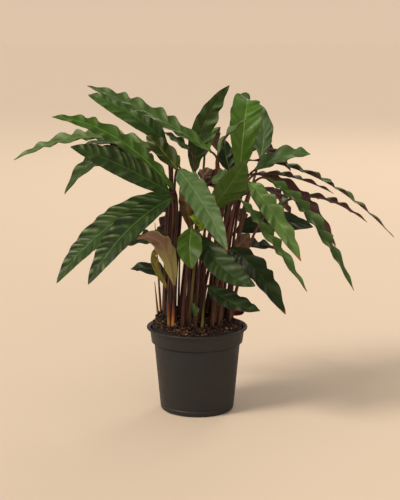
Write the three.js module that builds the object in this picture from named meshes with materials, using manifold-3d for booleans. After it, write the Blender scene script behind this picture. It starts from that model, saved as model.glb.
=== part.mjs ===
// A potted calathea with long wavy leaves, in a plain round nursery pot filled with bark potting mix.
// Millimetres, +Z up. The origin is the middle of the pot's underside, and -Y is the front.
// The stalks grow from crowns under the soil surface, stand in holes in the soil and carry a blade each.
import * as THREE from "three";
import { mergeVertices } from "three/addons/utils/BufferGeometryUtils.js";
import Module from "manifold-3d";

const wasm = await Module();
wasm.setup();

const GAP = 0.35; // clear space between neighbouring pieces

// The pot
const POT_HEIGHT = 118;
const LIP_RADIUS = 70;
const LIP_THICKNESS = 3.2;
const LIP_ROUNDING = 0.8;
const BAND_HEIGHT = 21.8; // the wider band under the lip
const BAND_RADIUS_TOP = 65.5;
const BAND_RADIUS_BOTTOM = 63.4;
const BODY_RADIUS_TOP = 59.8;
const BODY_RADIUS_BOTTOM = 51.7;
const FOOT_HEIGHT = 8; // a narrower foot ring at the very bottom
const FOOT_RADIUS = 50.6;
const FOOT_CHAMFER = 2;
const FOOT_STEP = 0.6;
const POT_WALL = 1.5;
const POT_FLOOR = 2.2;
const POT_SIDES = 40;
const DRAIN_HOLES = 6;
const DRAIN_RADIUS = 4.5;
const DRAIN_CIRCLE = 34;
const DRAIN_SIDES = 10;

// The soil
const SOIL_BELOW_LIP = 1.5; // at the wall
const SOIL_MOUND = 8; // how far the middle stands above the edge
const SOIL_HEAP = 15; // and the back left, heaped up against the stalks, above the front right,
const SOIL_HEAP_WAY = new THREE.Vector2(-0.5, 0.85);
const SOIL_HEAP_FROM = -35; // between these two places along that way
const SOIL_HEAP_TO = 35;
const SOIL_HEAP_FALL = 0.25; // the share of the heap that is gone at the wall,
const SOIL_HEAP_FALL_POWER = 6; // most of it close to the wall
const SOIL_ROUGHNESS = 2.2;
const SOIL_EDGE_DIP = 0.5;
const SOIL_WALL_CLEAR = 1; // beyond the gap, where the pot's wall changes its slope
const SOIL_SECTORS = 20;
const SOIL_RINGS = 6;

// The crowns that the stalks grow from
const CROWN_DEPTH = 15; // the crowns lie this far under the soil surface
const CROWN_RADIUS = 17.5;
const CROWN_TOP_SHARE = 0.9;
const CROWN_HEIGHT = 9;
const CROWN_SIDES = 10;
const CROWNS = [
  [-34, -13],
  [20, -22],
  [-20, 22],
  [33, 16],
];

// The stalks
const TALL = 150; // a stalk this long or longer leans out from its foot:
const FOOT_SPREAD = 0.64; // its foot stands at this share of its neck's distance from the axis,
const FOOT_SHIFT = -16; // and this far along X
const FOOT_REACH = 50; // the furthest foot from the axis
const ROOT_LEAN = 0.5; // how far the buried end of a stalk leans in to its crown
const STALK_RISE = 0.2; // how steeply a stalk leaves its foot, in lengths of the stalk,
const STALK_RISE_AT = 0.18; // up to this share of the way to the neck
const STALK_BEND = 0.08; // its bend under the blade, in lengths of the stalk,
const STALK_ARCH = 0.5; // and in lengths of its overhang
const STALK_RADIUS_FOOT = 2.6;
const STALK_RADIUS_NECK = 1.5;
const SPEAR_RADIUS_TIP = 0.6;
const STALK_SIDES = 5;
const STALK_STEPS = 5;
const SPEAR_STEPS = 3;

// The blades
const BLADE_THICKNESS = 0.8;
const BLADE_BASE_WIDTH = 3;
const OUTLINE_BASE = 0.55; // powers of the blade's outline: rounded at the base,
const OUTLINE_TIP = 0.8; // and long drawn out to the tip
const HALF_WAVE = 13.5; // from a crest of the waved edge to the next trough
const FEWEST_HALF_WAVES = 5;
const WAVE_HEIGHT = 0.24; // of the half width,
const WAVED_WIDTH = 28; // and less on blades that are broader than this
const SCALLOP = 0.1; // how far a crest reaches out sideways, in the same way
const CALM = 0.5; // the waves of a calm blade, as a share of the others' waves
const VEIN_SWEEP = 0.55; // how far the edge runs ahead of the midrib, in half widths
const FOLD = 0.22; // rise of the two halves from the midrib, in half widths

// How leaves and shoots that touch lean off each other
const SETTLE_ROUNDS = 40;
const BLADE_CLEARANCE = 5.6; // where a blade is widest, for the waves of its edge
const TIP_CLEARANCE = 2;
const STALK_CLEARANCE = 2.6;
const STALKS_TOGETHER = 0.75; // stalks of one crown stand this much closer
const STALK_SPOTS = 12;
const BLADE_SPOTS = [-1, -0.5, 0, 0.5, 1];
const LEAN = new THREE.Vector3(0.5, 1, 0.5); // they give way more readily to the front and the back

// One row for each leaf: its name, the neck where the stalk ends and the blade begins, the middle and
// the tip of the blade's midrib, the blade's width, and the way that its upper side faces.
const LEAVES = [
  ["left_high", [20, 3, 359], [-70, 12, 403], [-152, 15, 439], 30, [0.1, -0.5, 0.85]],
  ["left_high_back", [-42, 30, 369], [-97, 50, 411], [-153, 70, 433], 35, [0.2, -0.85, 0.5]],
  ["left_lime", [-31, -20, 310], [-106, -50, 384], [-186, -75, 412], 25, [0.3, -0.75, 0.6]],
  ["left_level", [-44, 0, 357], [-142, 0, 386], [-245, -5, 354], 30, [0.1, -0.35, 0.9]],
  ["left_purple_tip", [-47, 15, 321], [-104, 35, 366], [-165, 60, 362], 28, [0.1, -0.35, 0.9]],
  ["left_broad", [-36, -35, 308], [-101, -75, 350], [-161, -110, 377], 37, [0.2, -0.85, 0.5]],
  ["left_arched", [-43, 5, 312], [-119, 15, 350], [-181, 20, 299], 36, [-0.3, -0.6, 0.75]],
  ["left_low_back", [-34, -15, 305], [-121, -50, 262], [-186, -70, 192], 42, [-0.5, -0.75, 0.45]],
  ["left_low_front", [-32, -35, 302], [-91, -85, 263], [-140, -115, 198], 42, [-0.4, -0.8, 0.4]],
  ["left_shade", [-42, 28, 231], [-75, 48, 232], [-109, 75, 216], 28, [0, -0.6, 0.8]],
  ["left_lowest", [-41, 32, 175], [-66, 52, 188], [-96, 70, 184], 24, [0, -0.6, 0.8]],
  ["front_long", [-25, -35, 339], [8, -98, 303], [39, -152, 250], 34, [-0.15, -0.9, 0.35]],
  ["front_bright", [19, -50, 286], [42, -75, 320], [64, -75, 354], 48, [0.5, -0.8, -0.25]],
  ["top_bright", [58, 3, 325], [65, 3, 413], [70, 37, 425], 42, [0.1, -0.95, 0.3]],
  ["top_dark", [-4, 20, 329], [8, 25, 389], [45, 30, 446], 31, [0.4, -0.85, 0.3]],
  ["top_right", [88, 45, 347], [94, 70, 384], [86, 85, 421], 27, [-0.2, -0.9, 0.3]],
  ["top_narrow", [26, -15, 350], [42, -20, 384], [69, -22, 406], 20, [-0.7, -0.2, 0.65]],
  ["top_short", [46, 30, 329], [40, 40, 351], [38, 50, 372], 26, [0, -0.7, 0.7]],
  ["top_small", [-10, 0, 362], [-27, 0, 377], [-46, 5, 386], 18, [0.2, -0.4, 0.9]],
  ["top_olive", [-26, -10, 336], [-46, -5, 366], [-66, 5, 383], 30, [0.5, -0.75, 0.4]],
  ["right_high", [78, 12, 333], [113, 15, 348], [151, 15, 349], 28, [0, -0.6, 0.8]],
  ["right_longest", [73, 25, 346], [173, 5, 318], [265, -18, 240], 26, [0.35, 0, 0.95]],
  ["right_level", [74, 8, 328], [130, 18, 318], [188, 25, 298], 24, [0.15, 0.12, 1]],
  ["right_purple", [89, 22, 326], [146, 30, 296], [193, 30, 229], 24, [0.3, 0.8, 0.5]],
  ["right_olive", [104, 28, 277], [171, 61, 289], [246, 86, 248], 26, [0.1, 0.2, 1]],
  ["right_twisted", [94, 0, 324], [150, -38, 278], [207, -75, 184], 28, [0.6, -0.45, 0.6]],
  ["right_front", [70, -30, 322], [99, -65, 283], [134, -100, 226], 28, [0.15, -0.9, 0.4]],
  ["right_folded", [57, -45, 301], [93, -85, 262], [142, -125, 194], 25, [0.7, -0.5, 0.5]],
  ["right_dark", [54, 32, 244], [111, 70, 252], [169, 104, 240], 38, [0, -0.75, 0.65]],
  ["right_shade", [54, 15, 227], [91, 38, 224], [124, 62, 213], 31, [0, -0.25, 1]],
  ["right_drooping", [43, -22, 231], [76, -62, 211], [116, -102, 158], 38, [0.45, -0.75, 0.5]],
  ["front_dark", [5, -45, 252], [35, -95, 216], [74, -142, 203], 38, [0.1, -0.8, 0.6]],
  ["front_low", [16, -40, 182], [46, -85, 169], [81, -125, 167], 30, [0.1, -0.7, 0.7]],
  ["front_round", [-7, -52, 264], [-8, -80, 245], [-5, -98, 221], 34, [0, -0.85, 0.5]],
  ["front_curl", [2, -44, 258], [3, -60, 269], [-11, -67, 277], 24, [0.3, -0.8, 0.5]],
  ["front_young", [-10, -22, 258], [-15, -32, 290], [-25, -32, 316], 24, [0.2, 0.95, 0.1]],
  ["middle_purple", [32, 2, 307], [17, -5, 321], [1, -12, 331], 28, [0.3, 0.8, 0.5]],
  ["middle_grey", [19, -18, 322], [31, -26, 328], [44, -34, 334], 22, [0, -0.8, 0.6]],
  ["back_left_inner", [-30, 38, 268], [-42, 78, 260], [-55, 122, 205], 34, [-0.3, 0.3, 0.9]],
  ["back_right_inner", [42, 40, 258], [52, 72, 268], [72, 125, 235], 32, [0.2, 0.3, 0.9]],
  ["back_high", [10, 40, 350], [15, 95, 380], [30, 165, 345], 34, [0, 0.3, 0.95]],
  ["back_left_high", [-25, 42, 335], [-70, 100, 352], [-125, 165, 310], 36, [-0.2, 0.3, 0.9]],
  ["back_right_high", [50, 45, 335], [90, 105, 355], [140, 170, 315], 36, [0.2, 0.3, 0.9]],
  ["back_left_low", [-35, 38, 269], [-91, 80, 251], [-147, 125, 190], 34, [-0.4, 0.4, 0.8]],
  ["back_right_low", [55, 42, 290], [100, 95, 295], [140, 155, 250], 34, [0.4, 0.4, 0.8]],
  ["back_middle", [5, 45, 300], [0, 110, 300], [-20, 175, 240], 38, [0, 0.5, 0.85]],
  ["back_low", [20, 42, 240], [30, 95, 235], [45, 145, 185], 30, [0, 0.5, 0.85]],
  ["fading_pink", [-31, -38, 183], [-46, -74, 245], [-78, -93, 257], 23, [-0.3, 0.75, 0.5]],
  ["fading_yellow", [-41, -40, 180], [-57, -55, 218], [-53, -60, 236], 12, [0.6, -0.7, 0.3]],
  ["fading_tan", [49, -14, 225], [60, -22, 238], [71, -28, 250], 22, [0.3, 0.9, -0.3]],
  ["sprout_rolled", [-1, -38, 138], [-3, -42, 149], [-8, -45, 161], 10, [0.5, -0.8, 0.2]],
  ["sprout_red", [50, 28, 126], [56, 25, 135], [55, 21, 146], 20, [0.35, -0.9, 0.3]],
  ["middle_brown", [8, -10, 322], [14, -15, 330], [24, -14, 338], 18, [0.2, 0.8, 0.5]],
].map(([name, neck, middle, tip, width, face], index) => ({
  name,
  index,
  neck: new THREE.Vector3(...neck),
  middle: new THREE.Vector3(...middle),
  tip: new THREE.Vector3(...tip),
  bow: new THREE.Vector3(),
  halfWidth: width / 2,
  face: new THREE.Vector3(...face).normalize(),
}));

// Young rolled shoots that carry no blade yet: where each leaves the soil, and its tip.
const SPEARS = [
  [[-51, 20], [-58, 2, 262]],
  [[-55, 13], [-59, 8, 178]],
  [[-26, -8], [-22, -14, 290]],
  [[-5, 10], [-2, 4, 300]],
  [[8, -16], [12, -24, 280]],
  [[20, 8], [26, 4, 300]],
  [[33, -6], [37, -12, 270]],
].map(([foot, tip]) => ({
  foot: new THREE.Vector3(...foot, soilTop(...foot)),
  tip: new THREE.Vector3(...tip),
  bow: new THREE.Vector3(),
}));

// These blades are nearly flat along their edges.
const CALM_BLADES = [
  "left_broad",
  "left_low_back",
  "left_low_front",
  "front_bright",
  "front_dark",
  "front_low",
  "front_round",
  "right_dark",
];

const material = (color, roughness) => new THREE.MeshStandardMaterial({ color, roughness, metalness: 0 });
const POT_MATERIAL = material(0x2e2a27, 0.55);
const SOIL_MATERIAL = material(0x2e1c13, 0.95);
const STALK_MATERIAL = material(0x431a1c, 0.5);
const BLADE_MATERIAL = material(0x244a24, 0.4);
const FADING_MATERIAL = material(0x9a7260, 0.7);

// A steady number from 0 to 1 for two whole numbers, the same on every run.
function scatter(i, j) {
  const value = Math.sin(i * 12.9898 + j * 78.233) * 43758.5453;
  return value - Math.floor(value);
}

// ---- Solids ----

// A closed solid through rings of points, capped at both ends. A side named in turned has its
// quads split along the other diagonal.
function loft(rings, turned = []) {
  const count = rings[0].length;
  const positions = rings.flat().flatMap((point) => point.toArray());
  const index = [];
  for (let k = 0; k + 1 < rings.length; k++) {
    for (let i = 0; i < count; i++) {
      const a = k * count + i;
      const b = k * count + ((i + 1) % count);
      const c = b + count;
      const d = a + count;
      if (turned.includes(i)) index.push(a, b, d, b, c, d);
      else index.push(a, b, c, a, c, d);
    }
  }
  const last = (rings.length - 1) * count;
  for (let i = 1; i + 1 < count; i++) {
    index.push(0, i + 1, i, last, last + i, last + i + 1);
  }
  const geometry = new THREE.BufferGeometry();
  geometry.setAttribute("position", new THREE.Float32BufferAttribute(positions, 3));
  geometry.setIndex(index);
  return geometry;
}

// A ring of points round the Z axis, or any ring that place makes of an angle and a number.
const ringOf = (count, place) => Array.from({ length: count }, (_, i) => place((2 * Math.PI * i) / count, i));

// A tube with a flat face at each end: a ring of sides round each place of the path.
function tube(path, radiusAt, endAlong) {
  const rings = path.map((centre, k) => {
    const before = path[Math.max(0, k - 1)];
    const after = path[k + 1];
    const along = after ? after.clone().sub(before).normalize() : endAlong;
    const right = new THREE.Vector3(0, 1, 0).cross(along).normalize();
    const front = along.clone().cross(right);
    const radius = radiusAt(k / (path.length - 1));
    return ringOf(STALK_SIDES, (angle) => {
      const point = centre.clone().addScaledVector(right, radius * Math.cos(angle));
      return point.addScaledVector(front, radius * Math.sin(angle));
    });
  });
  return solidOf(loft(rings));
}

function solidOf(geometry) {
  const bare = geometry.clone();
  bare.deleteAttribute("normal");
  bare.deleteAttribute("uv");
  const merged = mergeVertices(bare, 1e-4);
  return new wasm.Manifold(
    new wasm.Mesh({
      numProp: 3,
      vertProperties: merged.attributes.position.array,
      triVerts: new Uint32Array(merged.index.array),
    }),
  );
}

function geometryOf(solid) {
  const mesh = solid.getMesh();
  const geometry = new THREE.BufferGeometry();
  geometry.setAttribute("position", new THREE.Float32BufferAttribute(mesh.vertProperties, 3));
  geometry.setIndex(Array.from(mesh.triVerts));
  return geometry;
}

const joined = (solids) => solids.reduce((whole, solid) => whole.add(solid));
const cutBy = (solid, tools) => tools.reduce((rest, tool) => rest.subtract(tool), solid);

// A turned solid from [radius, height] pairs that start and end on the axis.
function turnedSolid(profile, sides) {
  const points = profile.map(([radius, height]) => new THREE.Vector2(radius, height));
  return solidOf(new THREE.LatheGeometry(points, sides).rotateX(Math.PI / 2));
}

// ---- Leaves ----

// The midrib is a parabola through the neck, the middle and the tip.
function midrib(leaf, t) {
  const bend = leaf.middle.clone().multiplyScalar(2);
  bend.addScaledVector(leaf.neck, -0.5).addScaledVector(leaf.tip, -0.5);
  const point = leaf.neck.clone().multiplyScalar((1 - t) * (1 - t));
  return point.addScaledVector(bend, 2 * t * (1 - t)).addScaledVector(leaf.tip, t * t);
}

// The directions along the midrib, across the blade and out of its upper side.
function bladeFrame(leaf, t) {
  const step = 0.01;
  const along = midrib(leaf, t + step).sub(midrib(leaf, t - step)).normalize();
  const across = along.clone().cross(leaf.face).normalize();
  return { along, across, up: across.clone().cross(along) };
}

function bladeLength(leaf) {
  return leaf.neck.distanceTo(leaf.middle) + leaf.middle.distanceTo(leaf.tip);
}

const halfWaves = (leaf) => Math.max(FEWEST_HALF_WAVES, Math.round(bladeLength(leaf) / HALF_WAVE));

// Half width of the blade as a share of its greatest, t of the way from the neck to the tip.
function outline(t) {
  const shape = (u) => u ** OUTLINE_BASE * (1 - u) ** OUTLINE_TIP;
  return shape(t) / shape(OUTLINE_BASE / (OUTLINE_BASE + OUTLINE_TIP));
}

// How strongly a blade waves.
function waviness(leaf) {
  const calm = CALM_BLADES.includes(leaf.name) ? CALM : 1;
  return calm * Math.min(1, (WAVED_WIDTH / 2 / leaf.halfWidth) ** 2);
}

// A point of the blade's middle surface: side runs from -1 to 1 across, t from 0 at the neck to 1 at the
// tip, and wave from -1 to 1 is the edge's place between trough and crest.
function bladePoint(leaf, side, t, wave) {
  const reach = leaf.halfWidth * outline(t);
  const ahead = (VEIN_SWEEP * Math.abs(side) * reach) / bladeLength(leaf);
  const { across, up } = bladeFrame(leaf, t + ahead * (1 - t));
  const waved = reach * waviness(leaf) * wave;
  const rise = Math.abs(side) * (FOLD * reach + WAVE_HEIGHT * waved);
  const point = midrib(leaf, t + ahead * (1 - t)).addScaledVector(up, rise);
  point.addScaledVector(across, side * Math.max(reach + SCALLOP * waved, BLADE_BASE_WIDTH / 2));
  return { point, up };
}

// Crests and troughs take turns along an edge, no two of the same height, and most leaves have a
// crest on one edge across from a trough on the other.
function waveAt(leaf, k, side) {
  const sign = (k + leaf.index) % 2 === 0 ? 1 : -1;
  const mirrored = side < 0 && leaf.index % 3 !== 0 ? -1 : 1;
  return sign * mirrored * (0.75 + 0.5 * scatter(leaf.index, k));
}

// The blade is a thin folded sheet with a crest or a trough at each station of both edges.
function blade(leaf) {
  const last = halfWaves(leaf);
  const rings = [];
  for (let k = 0; k <= last; k++) {
    const upper = [];
    const lower = [];
    for (const side of [-1, 0, 1]) {
      const { point, up } = bladePoint(leaf, side, k / last, waveAt(leaf, k, side));
      upper.push(point.clone().addScaledVector(up, BLADE_THICKNESS / 2));
      lower.unshift(point.clone().addScaledVector(up, -BLADE_THICKNESS / 2));
    }
    rings.push([...upper, ...lower]);
  }
  return loft(rings, [3, 4]);
}

function soilTop(x, y) {
  const edge = Math.min(1, Math.hypot(x, y) / BAND_RADIUS_BOTTOM);
  const along = SOIL_HEAP_WAY.x * x + SOIL_HEAP_WAY.y * y;
  const heap = SOIL_HEAP * THREE.MathUtils.smoothstep(along, SOIL_HEAP_FROM, SOIL_HEAP_TO);
  const kept = 1 - SOIL_HEAP_FALL * edge ** SOIL_HEAP_FALL_POWER;
  return POT_HEIGHT - SOIL_BELOW_LIP + SOIL_MOUND * (1 - edge * edge) + heap * kept;
}

const crowns = CROWNS.map(([x, y]) => new THREE.Vector3(x, y, soilTop(x, y) - CROWN_DEPTH));

function nearestCrown(foot) {
  const reach = (crown) => Math.hypot(crown.x - foot.x, crown.y - foot.y);
  return crowns.reduce((best, crown) => (reach(crown) < reach(best) ? crown : best));
}

// A crown is a low round body, made wider by extra all round.
function crownBody(crown, extra = 0) {
  const radius = CROWN_RADIUS + extra;
  const height = CROWN_HEIGHT + 2 * extra;
  const disc = new THREE.CylinderGeometry(radius * CROWN_TOP_SHARE, radius, height, CROWN_SIDES);
  return solidOf(disc.rotateX(Math.PI / 2).translate(crown.x, crown.y, crown.z));
}

function footOf(leaf) {
  const tall = Math.min(1, (leaf.neck.z - POT_HEIGHT) / TALL);
  const share = THREE.MathUtils.lerp(1, FOOT_SPREAD, tall);
  const foot = new THREE.Vector3(leaf.neck.x * share + FOOT_SHIFT * tall, leaf.neck.y * share, 0);
  foot.clampLength(0, FOOT_REACH);
  return foot.setZ(soilTop(foot.x, foot.y));
}

// The buried end of a stalk, in the crown nearest to its foot.
function rootOf(foot) {
  const crown = nearestCrown(foot);
  return foot.clone().lerp(crown, ROOT_LEAN).setZ(crown.z);
}

// The stalk above the soil: it leaves its foot upwards and turns into the blade at the neck.
function stalkPoint(leaf, t) {
  const foot = footOf(leaf);
  const { along } = bladeFrame(leaf, 0);
  const end = leaf.neck.clone().addScaledVector(along, -GAP);
  const span = end.distanceTo(foot);
  const overhang = Math.hypot(end.x - foot.x, end.y - foot.y);
  const low = foot.clone().lerp(end, STALK_RISE_AT);
  low.z += STALK_RISE * span;
  const high = end.clone().addScaledVector(along, -(STALK_BEND * span + STALK_ARCH * overhang));
  const point = foot.multiplyScalar((1 - t) ** 3).addScaledVector(low, 3 * t * (1 - t) ** 2);
  point.addScaledVector(high, 3 * t * t * (1 - t)).addScaledVector(end, t ** 3);
  return point.addScaledVector(leaf.bow, 4 * t * (1 - t));
}

// A stalk from its crown under the soil up to the neck, made wider by extra all round.
function stalk(leaf, extra = 0) {
  const path = [rootOf(footOf(leaf))];
  for (let k = 0; k <= STALK_STEPS; k++) path.push(stalkPoint(leaf, k / STALK_STEPS));
  const radiusAt = (t) => THREE.MathUtils.lerp(STALK_RADIUS_FOOT, STALK_RADIUS_NECK, t) + extra;
  return tube(path, radiusAt, bladeFrame(leaf, 0).along);
}

// A rolled shoot above the soil.
function spearPoint({ foot, tip, bow }, t) {
  return foot.clone().lerp(tip, t).addScaledVector(bow, 4 * t * (1 - t));
}

function spear(young, extra = 0) {
  const { foot, tip } = young;
  const path = [rootOf(foot)];
  for (let k = 0; k <= SPEAR_STEPS; k++) path.push(spearPoint(young, k / SPEAR_STEPS));
  const radiusAt = (t) => THREE.MathUtils.lerp(STALK_RADIUS_FOOT, SPEAR_RADIUS_TIP, t) + extra;
  return tube(path, radiusAt, tip.clone().sub(foot).normalize());
}

// ---- Settling: leaves and rolled shoots that touch lean off each other ----

// Points over a leaf or a rolled shoot, each with the clear space that it needs and its place on it.
function cloudOf(growth) {
  const cloud = [];
  const pointAt = growth.name ? stalkPoint : spearPoint;
  for (let k = 0; k < STALK_SPOTS; k++) {
    const t = k / STALK_SPOTS;
    cloud.push({ point: pointAt(growth, t), clear: STALK_CLEARANCE, t, stalk: true });
  }
  if (!growth.name) return cloud;
  const last = halfWaves(growth);
  for (let k = 0; k <= last; k++) {
    const t = k / last;
    const clear = THREE.MathUtils.lerp(TIP_CLEARANCE, BLADE_CLEARANCE, outline(t));
    for (const side of BLADE_SPOTS) {
      cloud.push({ point: bladePoint(growth, side, t, 0).point, clear, t, stalk: false });
    }
  }
  return cloud;
}

const boxOf = (cloud) =>
  new THREE.Box3().setFromPoints(cloud.map((spot) => spot.point)).expandByScalar(BLADE_CLEARANCE);

// How hard a spot's push moves the bow of the stalk, the middle and the tip of the midrib.
function holds(spot) {
  const bulge = 4 * spot.t * (1 - spot.t);
  return spot.stalk ? [bulge, 0, 0] : [0, bulge, spot.t * spot.t];
}

function settle(growths) {
  for (let round = 0; round < SETTLE_ROUNDS; round++) {
    const clouds = growths.map(cloudOf);
    const boxes = clouds.map(boxOf);
    const homes = growths.map((growth) => nearestCrown(growth.foot ?? footOf(growth)));
    const pushes = growths.map(() => [0, 1, 2].map(() => ({ sum: new THREE.Vector3(), weight: 0 })));
    const push = (n, spot, way) =>
      holds(spot).forEach((hold, i) => {
        pushes[n][i].sum.addScaledVector(way, hold);
        pushes[n][i].weight += hold;
      });
    for (let a = 0; a < growths.length; a++) {
      for (let b = a + 1; b < growths.length; b++) {
        if (!boxes[a].intersectsBox(boxes[b])) continue;
        for (const one of clouds[a]) {
          for (const other of clouds[b]) {
            const together = one.stalk && other.stalk && homes[a] === homes[b];
            const away = one.point.clone().sub(other.point);
            const room = (one.clear + other.clear) * (together ? STALKS_TOGETHER : 1);
            if (away.length() >= room) continue;
            away.setLength(0.5 * (room - away.length())).multiply(LEAN);
            push(a, one, away);
            push(b, other, away.clone().negate());
          }
        }
      }
    }
    growths.forEach((growth, n) => {
      [growth.bow, growth.middle, growth.tip].forEach((place, i) => {
        const { sum, weight } = pushes[n][i];
        if (weight > 0) place.addScaledVector(sum, 1 / weight);
      });
    });
  }
}

// ---- Pot and soil ----

function pot() {
  const bandBottom = POT_HEIGHT - BAND_HEIGHT;
  const lipBottom = POT_HEIGHT - LIP_THICKNESS;
  const profile = [
    [0, 0],
    [FOOT_RADIUS - FOOT_CHAMFER, 0],
    [FOOT_RADIUS, FOOT_CHAMFER],
    [BODY_RADIUS_BOTTOM - FOOT_STEP, FOOT_HEIGHT],
    [BODY_RADIUS_BOTTOM, FOOT_HEIGHT + FOOT_STEP],
    [BODY_RADIUS_TOP, bandBottom - POT_WALL],
    [BAND_RADIUS_BOTTOM, bandBottom],
    [BAND_RADIUS_TOP, lipBottom - LIP_ROUNDING],
    [LIP_RADIUS - LIP_ROUNDING, lipBottom],
    [LIP_RADIUS, lipBottom + LIP_ROUNDING],
    [LIP_RADIUS, POT_HEIGHT - LIP_ROUNDING],
    [LIP_RADIUS - LIP_ROUNDING, POT_HEIGHT],
    [BAND_RADIUS_TOP, POT_HEIGHT],
    [BAND_RADIUS_TOP - POT_WALL, POT_HEIGHT - POT_WALL],
    [BAND_RADIUS_BOTTOM - POT_WALL, bandBottom + POT_WALL],
    [BODY_RADIUS_TOP - POT_WALL, bandBottom - LIP_ROUNDING],
    [BODY_RADIUS_BOTTOM - POT_WALL, FOOT_HEIGHT],
    [FOOT_RADIUS - FOOT_CHAMFER, POT_FLOOR],
    [0, POT_FLOOR],
  ];
  const holes = ringOf(DRAIN_HOLES, (angle) => {
    const hole = new THREE.CylinderGeometry(DRAIN_RADIUS, DRAIN_RADIUS, 4 * POT_FLOOR, DRAIN_SIDES);
    hole.rotateX(Math.PI / 2);
    return solidOf(hole.translate(DRAIN_CIRCLE * Math.cos(angle), DRAIN_CIRCLE * Math.sin(angle), 0));
  });
  return cutBy(turnedSolid(profile, POT_SIDES), holes);
}

// The soil fills the pot to just under the lip, in a low mound with a rough, lumpy top.
function soilBody() {
  const facet = Math.cos(Math.PI / POT_SIDES); // the pot's flats lie inside its radius
  const inside = (radius) => (radius - POT_WALL) * facet - GAP;
  const level = (radius, height) =>
    ringOf(
      SOIL_SECTORS,
      (angle) => new THREE.Vector3(radius * Math.cos(angle), radius * Math.sin(angle), height),
    );
  const rings = [
    level(inside(FOOT_RADIUS) - SOIL_WALL_CLEAR, POT_FLOOR + GAP),
    level(inside(BODY_RADIUS_BOTTOM) - GAP, FOOT_HEIGHT + SOIL_WALL_CLEAR),
    level(inside(BODY_RADIUS_TOP) - GAP, POT_HEIGHT - BAND_HEIGHT),
  ];
  const widest = inside(BAND_RADIUS_TOP) - SOIL_WALL_CLEAR;
  for (let n = 0; n < SOIL_RINGS; n++) {
    const radius = widest * Math.sqrt(1 - n / SOIL_RINGS);
    rings.push(
      ringOf(SOIL_SECTORS, (angle, i) => {
        const turned = angle + ((n % 2) * Math.PI) / SOIL_SECTORS;
        const x = radius * Math.cos(turned);
        const y = radius * Math.sin(turned);
        const rough = n === 0 ? -SOIL_EDGE_DIP : SOIL_ROUGHNESS * (2 * scatter(n, i) - 1);
        return new THREE.Vector3(x, y, soilTop(x, y) + rough);
      }),
    );
  }
  return solidOf(loft(rings));
}

// ---- The assembly ----

const plant = new THREE.Group();
plant.name = "potted_calathea";

function place(name, geometry, finish) {
  const mesh = new THREE.Mesh(geometry, finish);
  mesh.name = name;
  plant.add(mesh);
}

settle([...LEAVES, ...SPEARS]);

const grown = (extra) => [
  ...LEAVES.map((leaf) => ({ crown: nearestCrown(footOf(leaf)), solid: stalk(leaf, extra) })),
  ...SPEARS.map((young) => ({ crown: nearestCrown(young.foot), solid: spear(young, extra) })),
  ...crowns.map((crown) => ({ crown, solid: crownBody(crown, extra) })),
];
const solidsIn = (pieces) => pieces.map((piece) => piece.solid);

place("pot", geometryOf(pot()), POT_MATERIAL);
place("soil", geometryOf(cutBy(soilBody(), solidsIn(grown(GAP)))), SOIL_MATERIAL);

const pieces = grown(0);
crowns.forEach((crown, i) => {
  const shoot = joined(solidsIn(pieces.filter((piece) => piece.crown === crown)));
  place("shoot_" + (i + 1), geometryOf(shoot), STALK_MATERIAL);
});

for (const leaf of LEAVES) {
  const finish = leaf.name.startsWith("fading") ? FADING_MATERIAL : BLADE_MATERIAL;
  place("leaf_" + leaf.name, blade(leaf), finish);
}

export default plant;
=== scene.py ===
"""A potted calathea, dressed: waved waxy leaves with velvety undersides, ruddy stalks, bark mix and its pot.

The plant is laid out in millimetres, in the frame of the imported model, and each mesh is turned to metres as
it is made. The rules that place the leaves are the ones of the plain model, so each piece lies where its node
is.
"""

import logging
import math
from dataclasses import dataclass, field
from enum import Enum

import bmesh
import bpy
import numpy as np
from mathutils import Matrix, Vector


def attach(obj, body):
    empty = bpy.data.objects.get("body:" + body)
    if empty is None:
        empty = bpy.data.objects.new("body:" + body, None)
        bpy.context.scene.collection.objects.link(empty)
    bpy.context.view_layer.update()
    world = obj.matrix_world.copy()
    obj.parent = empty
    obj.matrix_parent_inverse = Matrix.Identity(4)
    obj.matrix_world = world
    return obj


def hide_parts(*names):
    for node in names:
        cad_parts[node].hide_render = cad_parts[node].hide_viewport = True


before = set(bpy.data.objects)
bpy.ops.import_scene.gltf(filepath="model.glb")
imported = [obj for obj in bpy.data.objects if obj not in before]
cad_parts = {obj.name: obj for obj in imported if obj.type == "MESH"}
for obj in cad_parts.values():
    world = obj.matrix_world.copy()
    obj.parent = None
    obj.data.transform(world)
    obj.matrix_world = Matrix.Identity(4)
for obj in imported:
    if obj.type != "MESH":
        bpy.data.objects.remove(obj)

Array = np.ndarray
Number = float | np.ndarray
Pair = tuple[float, float]
Triple = tuple[float, float, float]

LOG = logging.getLogger("calathea")
MM = 0.001
BODY = "root"


# ---- Small mathematics ----


def unit(vectors: Array) -> Array:
    """The vectors at length 1, along the last axis."""
    return vectors / np.maximum(np.linalg.norm(vectors, axis=-1, keepdims=True), 1e-12)


def lerp(start: Number, end: Number, share: Number) -> Number:
    """The value that share of the way from start to end."""
    return start + (end - start) * share


def smoothstep(value: Number, low: float, high: float) -> Number:
    """0 below low, 1 above high and an eased rise between them."""
    share = np.clip((value - low) / (high - low), 0.0, 1.0)
    return share * share * (3 - 2 * share)


def scatter(i: Number, j: Number) -> Number:
    """A steady number from 0 to 1 for two whole numbers, the same on every run."""
    value = np.sin(np.asarray(i, float) * 12.9898 + np.asarray(j, float) * 78.233) * 43758.5453
    return value - np.floor(value)


def circle(sides: int) -> Array:
    """The angles of a ring's corners."""
    return 2 * math.pi * np.arange(sides) / sides


def hoop(radius: Number, height: Number, angle: Array) -> Array:
    """Points round the upright axis at these angles."""
    return np.stack([radius * np.cos(angle), radius * np.sin(angle), height + 0 * angle], axis=-1)


# ---- Meshes ----


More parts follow.
